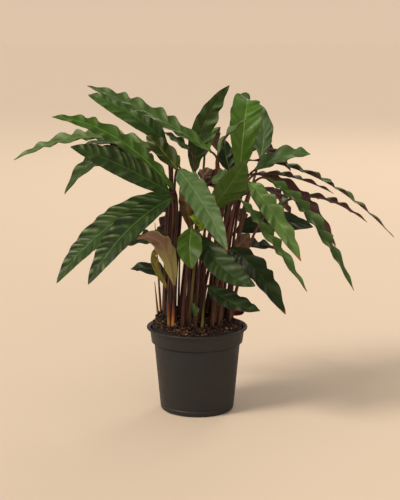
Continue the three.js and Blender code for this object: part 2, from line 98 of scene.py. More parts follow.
@dataclass
class Skin:
    """A mesh in the making, in millimetres: points, faces, material numbers and values for the finishes."""

    points: Array
    faces: list[tuple[int, ...]]
    finishes: list[int] | None = None
    values: dict[str, Array] = field(default_factory=dict)

    def piece(self, name: str, materials: list[bpy.types.Material], crease: float = 50) -> bpy.types.Object:
        """Makes the Blender object.

        Args:
            name: The piece's name.
            materials: Its materials, in the order of the material numbers.
            crease: The angle in degrees from which an edge stays sharp.

        Returns:
            The object, linked to the scene.
        """
        mesh = bpy.data.meshes.new(name)
        mesh.from_pydata((self.points * MM).tolist(), [], self.faces)
        for material in materials:
            mesh.materials.append(material)
        if self.finishes is not None:
            mesh.polygons.foreach_set("material_index", self.finishes)
        for key, value in self.values.items():
            kind, slot = ("FLOAT_VECTOR", "vector") if value.ndim == 2 else ("FLOAT", "value")
            mesh.attributes.new(key, kind, "POINT").data.foreach_set(slot, value.astype(np.float32).ravel())
        mesh.shade_smooth()
        mesh.set_sharp_from_angle(angle=math.radians(crease))
        mesh.update()
        made = bpy.data.objects.new(name, mesh)
        bpy.context.scene.collection.objects.link(made)
        return made


def merged(skins: list[Skin]) -> Skin:
    """One skin of one finish that holds all of these, which carry the same values."""
    faces, start = [], 0
    for skin in skins:
        faces += [tuple(corner + start for corner in face) for face in skin.faces]
        start += len(skin.points)
    values = {key: np.concatenate([skin.values[key] for skin in skins]) for key in skins[0].values}
    return Skin(np.concatenate([skin.points for skin in skins]), faces, None, values)


def lofted(rings: Array) -> Skin:
    """A closed skin through rings of points, with a flat face at each end.

    Args:
        rings: The points, as ring, corner and coordinate. The corners turn left seen from the last ring.
    """
    count, sides = rings.shape[:2]
    index = np.arange(count * sides).reshape(count, sides)
    turned = np.roll(index, -1, axis=1)
    quads = np.stack([index[:-1], turned[:-1], turned[1:], index[1:]], axis=-1).reshape(-1, 4)
    faces = [tuple(face) for face in quads.tolist()]
    faces += [tuple(index[0, ::-1].tolist()), tuple(index[-1].tolist())]
    return Skin(rings.reshape(-1, 3), faces)


def prism(corners: Array, low: float, high: float) -> Skin:
    """An upright prism between two heights over a flat outline that turns left."""
    return lofted(np.array([np.column_stack([corners, np.full(len(corners), z)]) for z in (low, high)]))


def sheet(upper: Array, lower: Array) -> Skin:
    """A thin closed sheet. Its upper side has finish 0, and the lower side and the rim have finish 1.

    Args:
        upper: The points of the upper side, as row, column and coordinate.
        lower: The points of the lower side, in the same order.
    """
    rows, columns = upper.shape[:2]
    shift = rows * columns
    top = np.arange(shift).reshape(rows, columns)
    under = top + shift
    quads = np.stack([top[:-1, :-1], top[:-1, 1:], top[1:, 1:], top[1:, :-1]], axis=-1).reshape(-1, 4)
    backs = np.stack([under[:-1, :-1], under[1:, :-1], under[1:, 1:], under[:-1, 1:]], axis=-1).reshape(-1, 4)
    border = np.concatenate([top[0, :-1], top[:-1, -1], top[-1, :0:-1], top[:0:-1, 0]])
    onward = np.roll(border, -1)
    rim = np.stack([border + shift, onward + shift, onward, border], axis=-1)
    faces = [tuple(face) for face in np.concatenate([quads, backs, rim]).tolist()]
    finishes = [0] * len(quads) + [1] * (len(backs) + len(rim))
    return Skin(np.concatenate([upper.reshape(-1, 3), lower.reshape(-1, 3)]), faces, finishes)


def settle_in(piece: bpy.types.Object, slot: str, *nodes: str) -> None:
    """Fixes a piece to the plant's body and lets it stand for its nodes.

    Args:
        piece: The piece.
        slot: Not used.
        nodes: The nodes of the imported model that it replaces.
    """
    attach(piece, BODY)
    if nodes:
        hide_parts(*nodes)
    LOG.info("%s: %d faces for %s", piece.name, len(piece.data.polygons), ", ".join(nodes) or "no node")


# ---- Finishes ----


def linear(hex_colour: str) -> tuple[float, float, float, float]:
    """An sRGB hex colour as linear light."""
    shares = [int(hex_colour[i : i + 2], 16) / 255 for i in (1, 3, 5)]
    red, green, blue = (c / 12.92 if c <= 0.04045 else ((c + 0.055) / 1.055) ** 2.4 for c in shares)
    return (red, green, blue, 1.0)


MIX_A, MIX_B, MIX_OUT = 6, 7, 2  # the colour sockets of a Mix node
EASED = {"interpolation_type": "SMOOTHSTEP"}  # a MapRange node with soft ends
COLOURS = {"data_type": "RGBA"}  # a Mix node of colours


def add_node(
    tree: bpy.types.NodeTree, kind: str, inputs: dict | None = None, stops: tuple = (), **settings: str
) -> bpy.types.Node:
    """Adds a node with its settings and links.

    Args:
        tree: The material's node tree.
        kind: The node's type, without the words that all types begin with.
        inputs: A value, a hex colour, a socket or a node for each input, by its name or number. A node stands
            for its first output, or a Mix node for its colour.
        stops: For a colour ramp, the place and hex colour of each stop.
        settings: The node's own properties.

    Returns:
        The node.
    """
    node = tree.nodes.new("ShaderNode" + kind)
    for key, value in settings.items():
        setattr(node, key, value)
    for key, value in (inputs or {}).items():
        if isinstance(value, bpy.types.Node):
            value = value.outputs[MIX_OUT if value.bl_idname == "ShaderNodeMix" else 0]
        if isinstance(value, bpy.types.NodeSocket):
            tree.links.new(value, node.inputs[key])
        else:
            node.inputs[key].default_value = linear(value) if isinstance(value, str) else value
    for number, (place, hex_colour) in enumerate(stops):
        elements = node.color_ramp.elements
        element = elements[number] if number < len(elements) else elements.new(place)
        element.position = place
        element.color = linear(hex_colour)
    return node


@dataclass(frozen=True)
class Finish:
    """A surface finish. Each kind says what it paints, and the material is made once for each name."""

    name: str

    def paint(self, tree: bpy.types.NodeTree) -> dict:
        """Adds the nodes of the colour, roughness and relief, and returns the shader's inputs."""
        raise NotImplementedError

    def material(self) -> bpy.types.Material:
        """The finish as a Blender material."""
        known = bpy.data.materials.get(self.name)
        if known:
            return known
        made = bpy.data.materials.new(self.name)
        made.use_nodes = True
        tree = made.node_tree
        tree.nodes.clear()
        shader = add_node(tree, "BsdfPrincipled", self.paint(tree))
        add_node(tree, "OutputMaterial", {"Surface": shader})
        return made

    @staticmethod
    def values(tree: bpy.types.NodeTree, name: str) -> bpy.types.NodeOutputs:
        """The three numbers that a mesh carries under a name."""
        carried = add_node(tree, "Attribute", attribute_name=name).outputs["Vector"]
        return add_node(tree, "SeparateXYZ", {0: carried}).outputs

    @staticmethod
    def place(tree: bpy.types.NodeTree) -> bpy.types.NodeSocket:
        """The place on the object, in metres."""
        return add_node(tree, "TexCoord").outputs["Object"]

    @staticmethod
    def lumps(place: object, width_mm: float, detail: float, roughness: float = 0.5) -> dict:
        """The inputs of a noise whose lumps are about this wide."""
        return {"Vector": place, "Scale": 1 / (width_mm * MM), "Detail": detail, "Roughness": roughness}

    @staticmethod
    def layered(tree: bpy.types.NodeTree, colour: object, layers: list[tuple]) -> object:
        """Lays colours over another, each with the share of it that shows."""
        for share, over in layers:
            colour = add_node(tree, "Mix", {0: share, MIX_A: colour, MIX_B: over}, **COLOURS)
        return colour


@dataclass(frozen=True)
class LeafFinish(Finish):
    """What both sides of a leaf share: patches of tone and fine side veins."""

    deep: str
    light: str
    vein_spacing_mm = 1.9  # real side veins lie 1 to 2 mm apart

    def veins(self, tree: bpy.types.NodeTree, run: bpy.types.NodeSocket) -> bpy.types.Node:
        """Fine waves along the blade, a crest for each side vein."""
        turns = add_node(tree, "Math", {0: run, 1: 2 * math.pi / self.vein_spacing_mm}, operation="MULTIPLY")
        return add_node(tree, "Math", {0: turns}, operation="SINE")


@dataclass(frozen=True)
class WaxyCuticle(LeafFinish):
    """The upper side of a calathea leaf: a smooth cuticle of wax over green tissue.

    It gives the eye a satin shine along the pleats, from a lower roughness on their crests and from a
    painted highlight, a pale colour laid on the crests, with painted shade in the hollows; fine parallel
    veins that run from the midrib out to the edge, a paler midrib and a thin wine red margin.
    """

    crest_highlight: str  # painted highlight: the pale colour laid on the crests, as they catch the light
    rib: str
    base: str  # next to the stalk
    margin: str
    crest_highlight_share: float
    roughness: float
    pleat_shading: float = 0.35  # painted shade and light: hollows of the pleats darker, crests lighter

    patch_mm = 16.0
    uneven_mm = 7.0
    rib_half_width_mm = 0.65
    dry_tissue = "#8a5a22"

    def paint(self, tree: bpy.types.NodeTree) -> dict:
        """Adds the nodes of the colour, roughness and relief, and returns the shader's inputs."""
        aside, run, crest = self.values(tree, "spot_mm")
        side, along, tone = self.values(tree, "spot_share")
        place = self.place(tree)
        patches = add_node(tree, "TexNoise", self.lumps(place, self.patch_mm, 3.0))
        body = add_node(tree, "Math", {0: patches, 1: tone}, operation="ADD")
        # Painted shade and light: the crest value darkens the hollows of the pleats and lightens their
        # crests.
        body = add_node(tree, "Math", {0: crest, 1: self.pleat_shading, 2: body}, operation="MULTIPLY_ADD")
        body = add_node(tree, "MapRange", {0: body, 1: 0.45, 2: 1.55}, **EASED)
        veins = self.veins(tree, run)
        veined = add_node(tree, "MapRange", {0: veins, 1: 0.2, 2: 1.0, 4: 0.22})
        # Painted highlight: a pale colour that comes and goes on the crests, which also shine more.
        highlight_and_gloss = add_node(tree, "MapRange", {0: crest, 1: 0.1, 2: 0.95, 4: self.crest_highlight_share}, **EASED)
        uneven = add_node(tree, "TexNoise", self.lumps(place, self.uneven_mm, 4.0, 0.6))
        highlight_and_gloss = add_node(tree, "Math", {0: highlight_and_gloss, 1: uneven}, operation="MULTIPLY")
        strong = add_node(tree, "MapRange", {0: patches, 1: 0.38, 2: 0.62, 3: 0.3, 4: 1.6})
        highlight_and_gloss = add_node(tree, "Math", {0: highlight_and_gloss, 1: strong}, operation="MULTIPLY")
        shine = add_node(tree, "MapRange", {0: highlight_and_gloss, 1: 0.0, 2: 0.3, 4: 0.12})
        near_stalk = add_node(tree, "MapRange", {0: along, 1: 0.0, 2: 0.22, 3: 0.75, 4: 0.0}, **EASED)
        off_rib = add_node(tree, "Math", {0: aside}, operation="ABSOLUTE")
        full, gone = 0.35 * self.rib_half_width_mm, 1.7 * self.rib_half_width_mm
        rib = add_node(tree, "MapRange", {0: off_rib, 1: full, 2: gone, 3: 1.0, 4: 0.0}, **EASED)
        fading = add_node(tree, "MapRange", {0: along, 1: 0.35, 2: 1.0, 3: 0.8, 4: 0.2})
        rib = add_node(tree, "Math", {0: rib, 1: fading}, operation="MULTIPLY")
        off_side = add_node(tree, "Math", {0: side}, operation="ABSOLUTE")
        edge = add_node(tree, "MapRange", {0: off_side, 1: 0.94, 2: 1.0, 4: 0.8}, **EASED)
        dry = add_node(tree, "Attribute", attribute_name="dryness").outputs["Fac"]
        green = self.layered(
            tree,
            self.deep,
            [
                (body, self.light),
                (veined, self.light),
                (highlight_and_gloss, self.crest_highlight),
                (near_stalk, self.base),
                (rib, self.rib),
                (edge, self.margin),
                (dry, self.dry_tissue),
            ],
        )
        dullest, shiniest = self.roughness + 0.08, self.roughness - 0.06
        gloss = add_node(tree, "MapRange", {0: uneven, 1: 0.3, 2: 0.7, 3: shiniest, 4: dullest})
        gloss = add_node(tree, "Math", {0: gloss, 1: shine}, operation="SUBTRACT")
        lift = add_node(tree, "Math", {0: uneven, 1: 0.6}, operation="MULTIPLY")
        lift = add_node(tree, "Math", {0: veins, 1: 0.3, 2: lift}, operation="MULTIPLY_ADD")
        return {
            "Base Color": green,
            "Roughness": gloss,
            "Normal": add_node(tree, "Bump", {"Strength": 0.45, "Distance": 0.25 * MM, "Height": lift}),
            "IOR": 1.45,
            "Specular IOR Level": 0.24,
            "Coat Weight": 0.04,
            "Coat Roughness": 0.3,
        }


@dataclass(frozen=True)
class VelvetUnderside(LeafFinish):
    """The underside of a calathea leaf: wine purple tissue under a down of very short hairs.

    It gives the eye a soft, dull purple that pales at a grazing angle, with a raised midrib.
    """

    rib: str
    margin: str
    sheen: str
    base: str = "#3a3418"  # next to the stalk
    base_share: float = 0.0  # how much of the base's colour shows, on most leaves none

    patch_mm = 20.0
    down_mm = 0.6  # real hairs are finer, and this is as fine as shows

    def paint(self, tree: bpy.types.NodeTree) -> dict:
        """Adds the nodes of the colour, roughness and relief, and returns the shader's inputs."""
        aside, run, _ = self.values(tree, "spot_mm")
        side, along, tone = self.values(tree, "spot_share")
        place = self.place(tree)
        patches = add_node(tree, "TexNoise", self.lumps(place, self.patch_mm, 4.0))
        body = add_node(tree, "Math", {0: patches, 1: tone}, operation="ADD")
        body = add_node(tree, "MapRange", {0: body, 1: 0.55, 2: 1.45}, **EASED)
        veins = self.veins(tree, run)
        veined = add_node(tree, "MapRange", {0: veins, 1: 0.0, 2: 1.0, 4: 0.3})
        falling = {0: along, 1: 0.1, 2: 0.6, 3: self.base_share, 4: 0.0}
        near_stalk = add_node(tree, "MapRange", falling, **EASED)
        off_rib = add_node(tree, "Math", {0: aside}, operation="ABSOLUTE")
        rib = add_node(tree, "MapRange", {0: off_rib, 1: 0.5, 2: 1.6, 3: 0.85, 4: 0.0}, **EASED)
        off_side = add_node(tree, "Math", {0: side}, operation="ABSOLUTE")
        edge = add_node(tree, "MapRange", {0: off_side, 1: 0.8, 2: 1.0, 4: 0.9}, **EASED)
        purple = self.layered(
            tree,
            self.deep,
            [
                (body, self.light),
                (veined, self.deep),
                (near_stalk, self.base),
                (rib, self.rib),
                (edge, self.margin),
            ],
        )
        down = add_node(tree, "TexNoise", self.lumps(place, self.down_mm, 2.0))
        lift = add_node(tree, "Math", {0: veins, 1: -0.4, 2: down}, operation="MULTIPLY_ADD")
        return {
            "Base Color": purple,
            "Normal": add_node(tree, "Bump", {"Strength": 0.5, "Distance": 0.3 * MM, "Height": lift}),
            "Roughness": 0.75,
            "Sheen Weight": 0.25,
            "Sheen Roughness": 0.4,
            "Sheen Tint": self.sheen,
        }


@dataclass(frozen=True)
class RuddyStalk(Finish):
    """The skin of the stalks: fibrous and downy, wine red with some brown and olive ones, paler at the foot.

    It gives the eye long fine streaks, their crests painted pale as highlights, and a soft shine on one side.
    """

    streak_mm = 1.2
    streak_length_mm = 30.0
    foot_mm = 42.0
    blanched_mm = 16.0
    streak_highlight = "#8c5c46"
    straw = "#b8924a"
    skins = (
        (0.0, "#1c0a08"),
        (0.35, "#3a1410"),
        (0.6, "#522016"),
        (0.78, "#502c14"),
        (0.9, "#4e461a"),
        (1.0, "#5c7424"),
    )
    feet = ((0.0, "#1e100c"), (0.5, "#3c2014"), (0.7, "#5e6c20"), (0.85, "#7c3a18"), (1.0, "#9c5420"))

    def paint(self, tree: bpy.types.NodeTree) -> dict:
        """Adds the nodes of the colour, roughness and relief, and returns the shader's inputs."""
        around, height, tint = self.values(tree, "stalk_spot")
        ripeness = add_node(tree, "Attribute", attribute_name="foot_tint").outputs["Fac"]
        skin = add_node(tree, "ValToRGB", {0: tint}, self.skins)
        foot = add_node(tree, "ValToRGB", {0: ripeness}, self.feet)
        low = add_node(tree, "MapRange", {0: height, 1: 2.0, 2: self.foot_mm, 3: 1.0, 4: 0.0}, **EASED)
        # Right above the soil the bright feet are blanched to straw yellow.
        pale = add_node(tree, "MapRange", {0: height, 1: 0.0, 2: self.blanched_mm, 3: 1.0, 4: 0.0})
        bright = add_node(tree, "MapRange", {0: ripeness, 1: 0.6, 2: 1.0, 4: 0.85})
        pale = add_node(tree, "Math", {0: pale, 1: bright}, operation="MULTIPLY")
        stretched = add_node(tree, "Math", {0: height, 1: 1 / self.streak_length_mm}, operation="MULTIPLY")
        fibres = add_node(tree, "CombineXYZ", {0: around, 1: stretched, 2: tint})
        grain = {"Vector": fibres, "Scale": 1 / self.streak_mm, "Detail": 4.0, "Roughness": 0.65}
        streaks = add_node(tree, "TexNoise", grain)
        # Painted highlight: the crests of the fibre streaks are painted a pale pinkish tan.
        streak_highlight_share = add_node(tree, "MapRange", {0: streaks, 1: 0.45, 2: 0.72, 4: 0.6}, **EASED)
        return {
            "Base Color": self.layered(tree, skin, [(low, foot), (pale, self.straw), (streak_highlight_share, self.streak_highlight)]),
            "Normal": add_node(tree, "Bump", {"Strength": 0.5, "Distance": 0.3 * MM, "Height": streaks}),
            "Roughness": 0.45,
            "Specular IOR Level": 0.3,
            "Sheen Weight": 0.06,
        }


@dataclass(frozen=True)
class BarkMix(Finish):
    """Composted bark potting mix, screened and slightly moist: near black humus with red-brown chips.

    It gives the eye dark, crumbly grains, and a few ruddy and straw coloured chips.
    """

    grain_mm = 1.4
    grain_tone = 0.34
    tones = ((0.15, "#080402"), (0.38, "#1c1009"), (0.58, "#3e2415"), (0.78, "#5e3e2a"), (1.0, "#8e6a4c"))

    def paint(self, tree: bpy.types.NodeTree) -> dict:
        """Adds the nodes of the colour, roughness and relief, and returns the shader's inputs."""
        tone = add_node(tree, "Attribute", attribute_name="chip_tone").outputs["Fac"]
        grain = add_node(tree, "TexNoise", self.lumps(self.place(tree), self.grain_mm, 5.0, 0.7))
        mixed = add_node(tree, "Math", {0: grain, 1: self.grain_tone, 2: tone}, operation="MULTIPLY_ADD")
        return {
            "Base Color": add_node(tree, "ValToRGB", {0: mixed}, self.tones),
            "Normal": add_node(tree, "Bump", {"Strength": 0.7, "Distance": 0.8 * MM, "Height": grain}),
            "Roughness": 0.82,
        }


@dataclass(frozen=True)
class MouldedPolypropylene(Finish):
    """Recycled polypropylene, injection moulded in a finely eroded tool: charcoal.

    It gives the eye a dull, even surface with a faint sheen, and a little dust and soil near the lip.
    """

    plastic = "#141517"
    scuff = "#202123"
    dust = "#3e3026"
    texture_mm = 0.7  # the tool's texture is finer, and this is as fine as shows
    scuff_mm = 14.0
    speck_mm = 2.5
    dusty_from_mm = 100.0
    lip_mm = 118.0

    def paint(self, tree: bpy.types.NodeTree) -> dict:
        """Adds the nodes of the colour, roughness and relief, and returns the shader's inputs."""
        place = self.place(tree)
        cloud = add_node(tree, "TexNoise", self.lumps(place, self.scuff_mm, 5.0))
        worn = add_node(tree, "MapRange", {0: cloud, 1: 0.45, 2: 0.8, 4: 0.35})
        height = add_node(tree, "SeparateXYZ", {0: place}).outputs[2]
        rising = {0: height, 1: self.dusty_from_mm * MM, 2: self.lip_mm * MM, 4: 1.0}
        near_lip = add_node(tree, "MapRange", rising, **EASED)
        specks = add_node(tree, "TexNoise", self.lumps(place, self.speck_mm, 3.0, 0.7))
        specks = add_node(tree, "MapRange", {0: specks, 1: 0.56, 2: 0.72, 4: 0.7})
        dusty = add_node(tree, "Math", {0: near_lip, 1: specks}, operation="MULTIPLY")
        fine = add_node(tree, "TexNoise", self.lumps(place, self.texture_mm, 2.0))
        return {
            "Base Color": self.layered(tree, self.plastic, [(worn, self.scuff), (dusty, self.dust)]),
            "Roughness": add_node(tree, "MapRange", {0: cloud, 1: 0.3, 2: 0.7, 3: 0.5, 4: 0.62}),
            "Normal": add_node(tree, "Bump", {"Strength": 0.25, "Distance": 0.15 * MM, "Height": fine}),
            "IOR": 1.49,
        }


@dataclass(frozen=True)
class StudioPaper(Finish):
    """Matt background paper, rolled out flat: a plain pale floor."""

    tint = "#d8c9b6"

    def paint(self, tree: bpy.types.NodeTree) -> dict:
        """Returns the paper's colour and roughness."""
        return {"Base Color": self.tint, "Roughness": 0.9}


class Top(Enum):
    """How the upper side of a leaf looks, with its age and its place in the light.

    Each has its deep, light, painted highlight, midrib, base and margin colours, its share of the painted
    highlight and its roughness, and two have a weaker painted shading of their pleats.
    """

    YOUNG = "#26450a", "#466c20", "#9cb47a", "#7c9a44", "#4c7a1c", "#4a3a1c", 0.35, 0.42
    BRIGHT = "#27440c", "#577339", "#a4b492", "#5f7c38", "#466c1e", "#3c2a1c", 0.35, 0.44
    FRESH = "#283e0c", "#42601c", "#66803c", "#66803a", "#3e5c18", "#3c2a1c", 0.1, 0.42, 0.15
    MATURE = "#283c14", "#4b692d", "#8c9e7a", "#557034", "#3c5c20", "#38221e", 0.35, 0.44
    OLD = "#101f06", "#3a5a1e", "#9ca280", "#4e7228", "#2e4c18", "#2c181a", 0.6, 0.42
    SHADED = "#14200a", "#31471f", "#767e68", "#3c5220", "#263a16", "#28161a", 0.3, 0.44, 0.25
    # Partly painted shade: darker still than the old leaves, for old leaves that lie deep in the shade of
    # others.
    DEEP_SHADE = "#101a0a", "#243416", "#5a6648", "#38501f", "#223616", "#28161a", 0.4, 0.5
    GREY = "#2e441e", "#4a6638", "#849a76", "#5c7a44", "#456034", "#38221f", 0.35, 0.5
    OLIVE = "#222c08", "#4a5c1e", "#768850", "#6e7a3a", "#525e24", "#361c1c", 0.3, 0.46
    LIME = "#547a12", "#94b030", "#b0c468", "#b4cc58", "#98b43a", "#6e7022", 0.2, 0.45
    STRAW = "#565416", "#8c8440", "#a8a068", "#98924e", "#78802c", "#6a5428", 0.2, 0.5
    WINE = "#300a10", "#761c26", "#8e4848", "#66242a", "#4c161c", "#300e12", 0.15, 0.42

    @property
    def finish(self) -> WaxyCuticle:
        """The finish of this side."""
        return WaxyCuticle("leaf_cuticle_" + self.name.lower(), *self.value)


class Under(Enum):
    """How the underside of a leaf looks: its deep, light, midrib, margin and sheen colours.

    One also has the colour of its base, and how much of it shows.
    """

    PURPLE = "#2a1414", "#4c2c2a", "#55302a", "#3c1e1e", "#a08080"
    DARK = "#140d0c", "#2a1a1a", "#2e1c18", "#241214", "#7a6666"
    OLIVE = "#38280e", "#5c461e", "#6a5626", "#44301a", "#908058"
    UMBER = "#38221c", "#62463a", "#6a4a3a", "#3c2018", "#98807c"
    FADING_PINK = "#6c5242", "#b09482", "#8a6a52", "#8e8e48", "#b09c8c", "#98985a", 0.9
    FADING_TAN = "#54382c", "#7c6454", "#746046", "#66622e", "#a89488"

    @property
    def finish(self) -> VelvetUnderside:
        """The finish of this side."""
        return VelvetUnderside("leaf_down_" + self.name.lower(), *self.value)


# ---- The plant's rules, in millimetres ----


@dataclass(frozen=True)
class SoilSurface:
    """The top of the soil: a low mound, heaped up against the stalks at the back and the left."""

    pot_height: float = 118.0
    below_lip: float = 1.5
    mound: float = 8.0
    heap: float = 15.0
    heap_way: Pair = (-0.5, 0.85)
    heap_from: float = -35.0
    heap_to: float = 35.0
    heap_fall: float = 0.25  # the share of the heap that is gone at the wall
    band_radius: float = 63.4

    def level(self, x: Number, y: Number) -> Number:
        """The height of the soil at a place."""
        edge = np.minimum(1, np.hypot(x, y) / self.band_radius)
        along = self.heap_way[0] * x + self.heap_way[1] * y
        heap = self.heap * smoothstep(along, self.heap_from, self.heap_to) * (1 - self.heap_fall * edge**6)
        return self.pot_height - self.below_lip + self.mound * (1 - edge * edge) + heap


@dataclass(frozen=True)
class Habit:
    """How the stalks stand and how the blades wave, the same for every leaf."""

    soil: SoilSurface = SoilSurface()
    gap: float = 0.35
    crowns: tuple[Pair, ...] = ((-34.0, -13.0), (20.0, -22.0), (-20.0, 22.0), (33.0, 16.0))
    crown_depth: float = 15.0
    crown_radius: float = 17.5
    crown_height: float = 9.0
    tall: float = 150.0
    foot_spread: float = 0.64
    foot_shift: float = -16.0
    foot_reach: float = 50.0
    root_lean: float = 0.5
    stalk_rise: float = 0.2
    stalk_rise_at: float = 0.18
    stalk_bend: float = 0.08
    stalk_arch: float = 0.5
    stalk_foot_radius: float = 2.6
    stalk_neck_radius: float = 1.5
    spear_tip_radius: float = 0.6
    base_width: float = 3.0
    outline_base: float = 0.55
    outline_tip: float = 0.8
    half_wave: float = 13.5
    fewest_half_waves: int = 5
    wave_height: float = 0.24
    wave_width: float = 28.0  # broader blades wave less
    calm: float = 0.5  # the waves of a calm blade, as a share of the others' waves
    scallop: float = 0.1
    vein_sweep: float = 0.55
    pleat_sweep: float = 0.65
    pleat_curve: float = 1.8
    fold: float = 0.22
    drift: float = 0.35  # how far a crest strays along the blade, in half waves

    def outline(self, t: Array) -> Array:
        """Half width of a blade as a share of its greatest, t of the way from the neck to the tip."""
        full = self.outline_base / (self.outline_base + self.outline_tip)

        def shape(u: Number) -> Number:
            """The outline before it is scaled."""
            return u**self.outline_base * (1 - u) ** self.outline_tip

        return shape(np.clip(t, 0, 1)) / shape(full)

    def crown_centres(self) -> Array:
        """The middles of the crowns under the soil."""
        return np.array([(x, y, self.soil.level(x, y) - self.crown_depth) for x, y in self.crowns])

    def home(self, foot: Array) -> int:
        """The number of the crown nearest to a foot."""
        return int(np.argmin(np.hypot(*(self.crown_centres()[:, :2] - foot[:2]).T)))

    def root(self, foot: Array) -> Array:
        """The buried end of a stalk, in its crown."""
        crown = self.crown_centres()[self.home(foot)]
        low = lerp(foot, crown, self.root_lean)
        return np.array([low[0], low[1], crown[2]])


@dataclass
class Leaf:
    """One leaf: a stalk and a blade along a parabola through its neck, middle and tip."""

    name: str
    index: int
    neck: Array
    middle: Array
    tip: Array
    width: float
    face: Array
    top: Top
    under: Under
    habit: Habit
    bow: Array = field(default_factory=lambda: np.zeros(3))

    def midrib(self, t: Number) -> Array:
        """Points of the midrib, t of the way along."""
        t = np.asarray(t, float)[..., None]
        bend = 2 * self.middle - 0.5 * self.neck - 0.5 * self.tip
        return self.neck * (1 - t) ** 2 + bend * 2 * t * (1 - t) + self.tip * t**2

    def directions(self, t: Number) -> tuple[Array, Array, Array]:
        """The directions along the midrib, across the blade and out of its upper side."""
        step = 0.01
        along = unit(self.midrib(np.asarray(t) + step) - self.midrib(np.asarray(t) - step))
        across = unit(np.cross(along, self.face))
        return along, across, np.cross(across, along)

    @property
    def length(self) -> float:
        """The blade's length."""
        return float(np.linalg.norm(self.middle - self.neck) + np.linalg.norm(self.tip - self.middle))

    @property
    def waviness(self) -> float:
        """How strongly the edge waves: broad blades and calm ones wave less."""
        calm = self.habit.calm if self.name in CALM_BLADES else 1.0
        return calm * min(1.0, (self.habit.wave_width / self.width) ** 2)

    @property
    def half_waves(self) -> int:
        """The number of half waves along an edge."""
        return max(self.habit.fewest_half_waves, int(self.length / self.habit.half_wave + 0.5))

    def crest(self, k: Array, side: Array) -> Array:
        """The height of the crest or trough at station k, from about -1.25 to 1.25."""
        sign = np.where((k + self.index) % 2 == 0, 1.0, -1.0)
        mirrored = np.where((side < 0) & (self.index % 3 != 0), -1.0, 1.0)
        return sign * mirrored * (0.75 + 0.5 * scatter(self.index, k))

    def station(self, t: Array, side: Array) -> Array:
        """The place among the crests and troughs. The pleats run forward from the midrib to the edge."""
        reach = self.width / 2 * self.habit.outline(t)
        behind = self.habit.pleat_sweep * (1 - np.abs(side) ** self.habit.pleat_curve) * reach / self.length
        place = np.clip(t + behind, 0, 1)
        phase = 2.4 * self.index + np.where(side < 0, 2.0, 0.0)
        stray = self.habit.drift * np.sin(1.3 * self.half_waves * place + phase) * 4 * place * (1 - place)
        return np.clip(place * self.half_waves + stray, 0, self.half_waves)

    def wave(self, t: Array, side: Array) -> Array:
        """The wave of the blade between its crests and troughs."""
        station = self.station(t, side)
        before = np.minimum(np.floor(station), self.half_waves - 1)
        ease = 0.5 - 0.5 * np.cos(math.pi * (station - before))
        return lerp(self.crest(before, side), self.crest(before + 1, side), ease)

    def surface(self, side: Array, t: Array, wave: Array, tip_width: float | None = None) -> Array:
        """Points of the blade's middle surface.

        Args:
            side: The place across, from -1 to 1.
            t: The place along, from 0 at the neck to 1 at the tip.
            wave: The edge's place between trough and crest.
            tip_width: The width left at the tip, where it is finer than the base.

        Returns:
            The points, in the shape of side and t broadcast together.
        """
        habit = self.habit
        reach = self.width / 2 * habit.outline(t)
        ahead = habit.vein_sweep * np.abs(side) * reach / self.length
        place = t + ahead * (1 - t)
        _, across, up = self.directions(place)
        waved = reach * self.waviness * wave
        rise = reach * np.abs(side) * habit.fold + np.abs(side) ** 0.75 * habit.wave_height * waved
        tip_width = habit.base_width if tip_width is None else tip_width
        least = lerp(habit.base_width, tip_width, np.clip(2 * t, 0, 1))
        aside = side * np.maximum(reach + habit.scallop * waved * np.abs(side), least / 2)
        return self.midrib(place) + up * rise[..., None] + across * aside[..., None]

    @property
    def foot(self) -> Array:
        """Where the stalk leaves the soil."""
        habit = self.habit
        tall = min(1.0, (self.neck[2] - habit.soil.pot_height) / habit.tall)
        share = lerp(1.0, habit.foot_spread, tall)
        x, y = self.neck[0] * share + habit.foot_shift * tall, self.neck[1] * share
        over = max(1.0, math.hypot(x, y) / habit.foot_reach)
        x, y = x / over, y / over
        return np.array([x, y, habit.soil.level(x, y)])

    def stalk(self, t: Array) -> Array:
        """Points of the stalk above the soil, t of the way from its foot to the neck."""
        habit, foot = self.habit, self.foot
        along = self.directions(0.0)[0]
        end = self.neck - along * habit.gap
        span = np.linalg.norm(end - foot)
        low = lerp(foot, end, habit.stalk_rise_at) + np.array([0, 0, habit.stalk_rise * span])
        overhang = math.hypot(*(end - foot)[:2])
        high = end - along * (habit.stalk_bend * span + habit.stalk_arch * overhang)
        t = np.asarray(t, float)[..., None]
        curve = foot * (1 - t) ** 3 + low * 3 * t * (1 - t) ** 2 + high * 3 * t * t * (1 - t) + end * t**3
        return curve + self.bow * 4 * t * (1 - t)


@dataclass
class Spear:
    """A young rolled shoot that carries no blade yet."""

    place: Pair
    tip: Array
    tint: float
    habit: Habit
    bow: Array = field(default_factory=lambda: np.zeros(3))

    @property
    def foot(self) -> Array:
        """Where it leaves the soil."""
        return np.array([*self.place, self.habit.soil.level(*self.place)])

    def stalk(self, t: Array) -> Array:
        """Points of the shoot, t of the way from its foot to its tip."""
        t = np.asarray(t, float)[..., None]
        return lerp(self.foot, self.tip, t) + self.bow * 4 * t * (1 - t)


@dataclass
class Cloud:
    """Points over a leaf for the settling, with the room each needs and how it moves the leaf."""

    points: Array
    room: Array
    holds: Array
    stalk: Array
    home: int
    low: Array
    high: Array


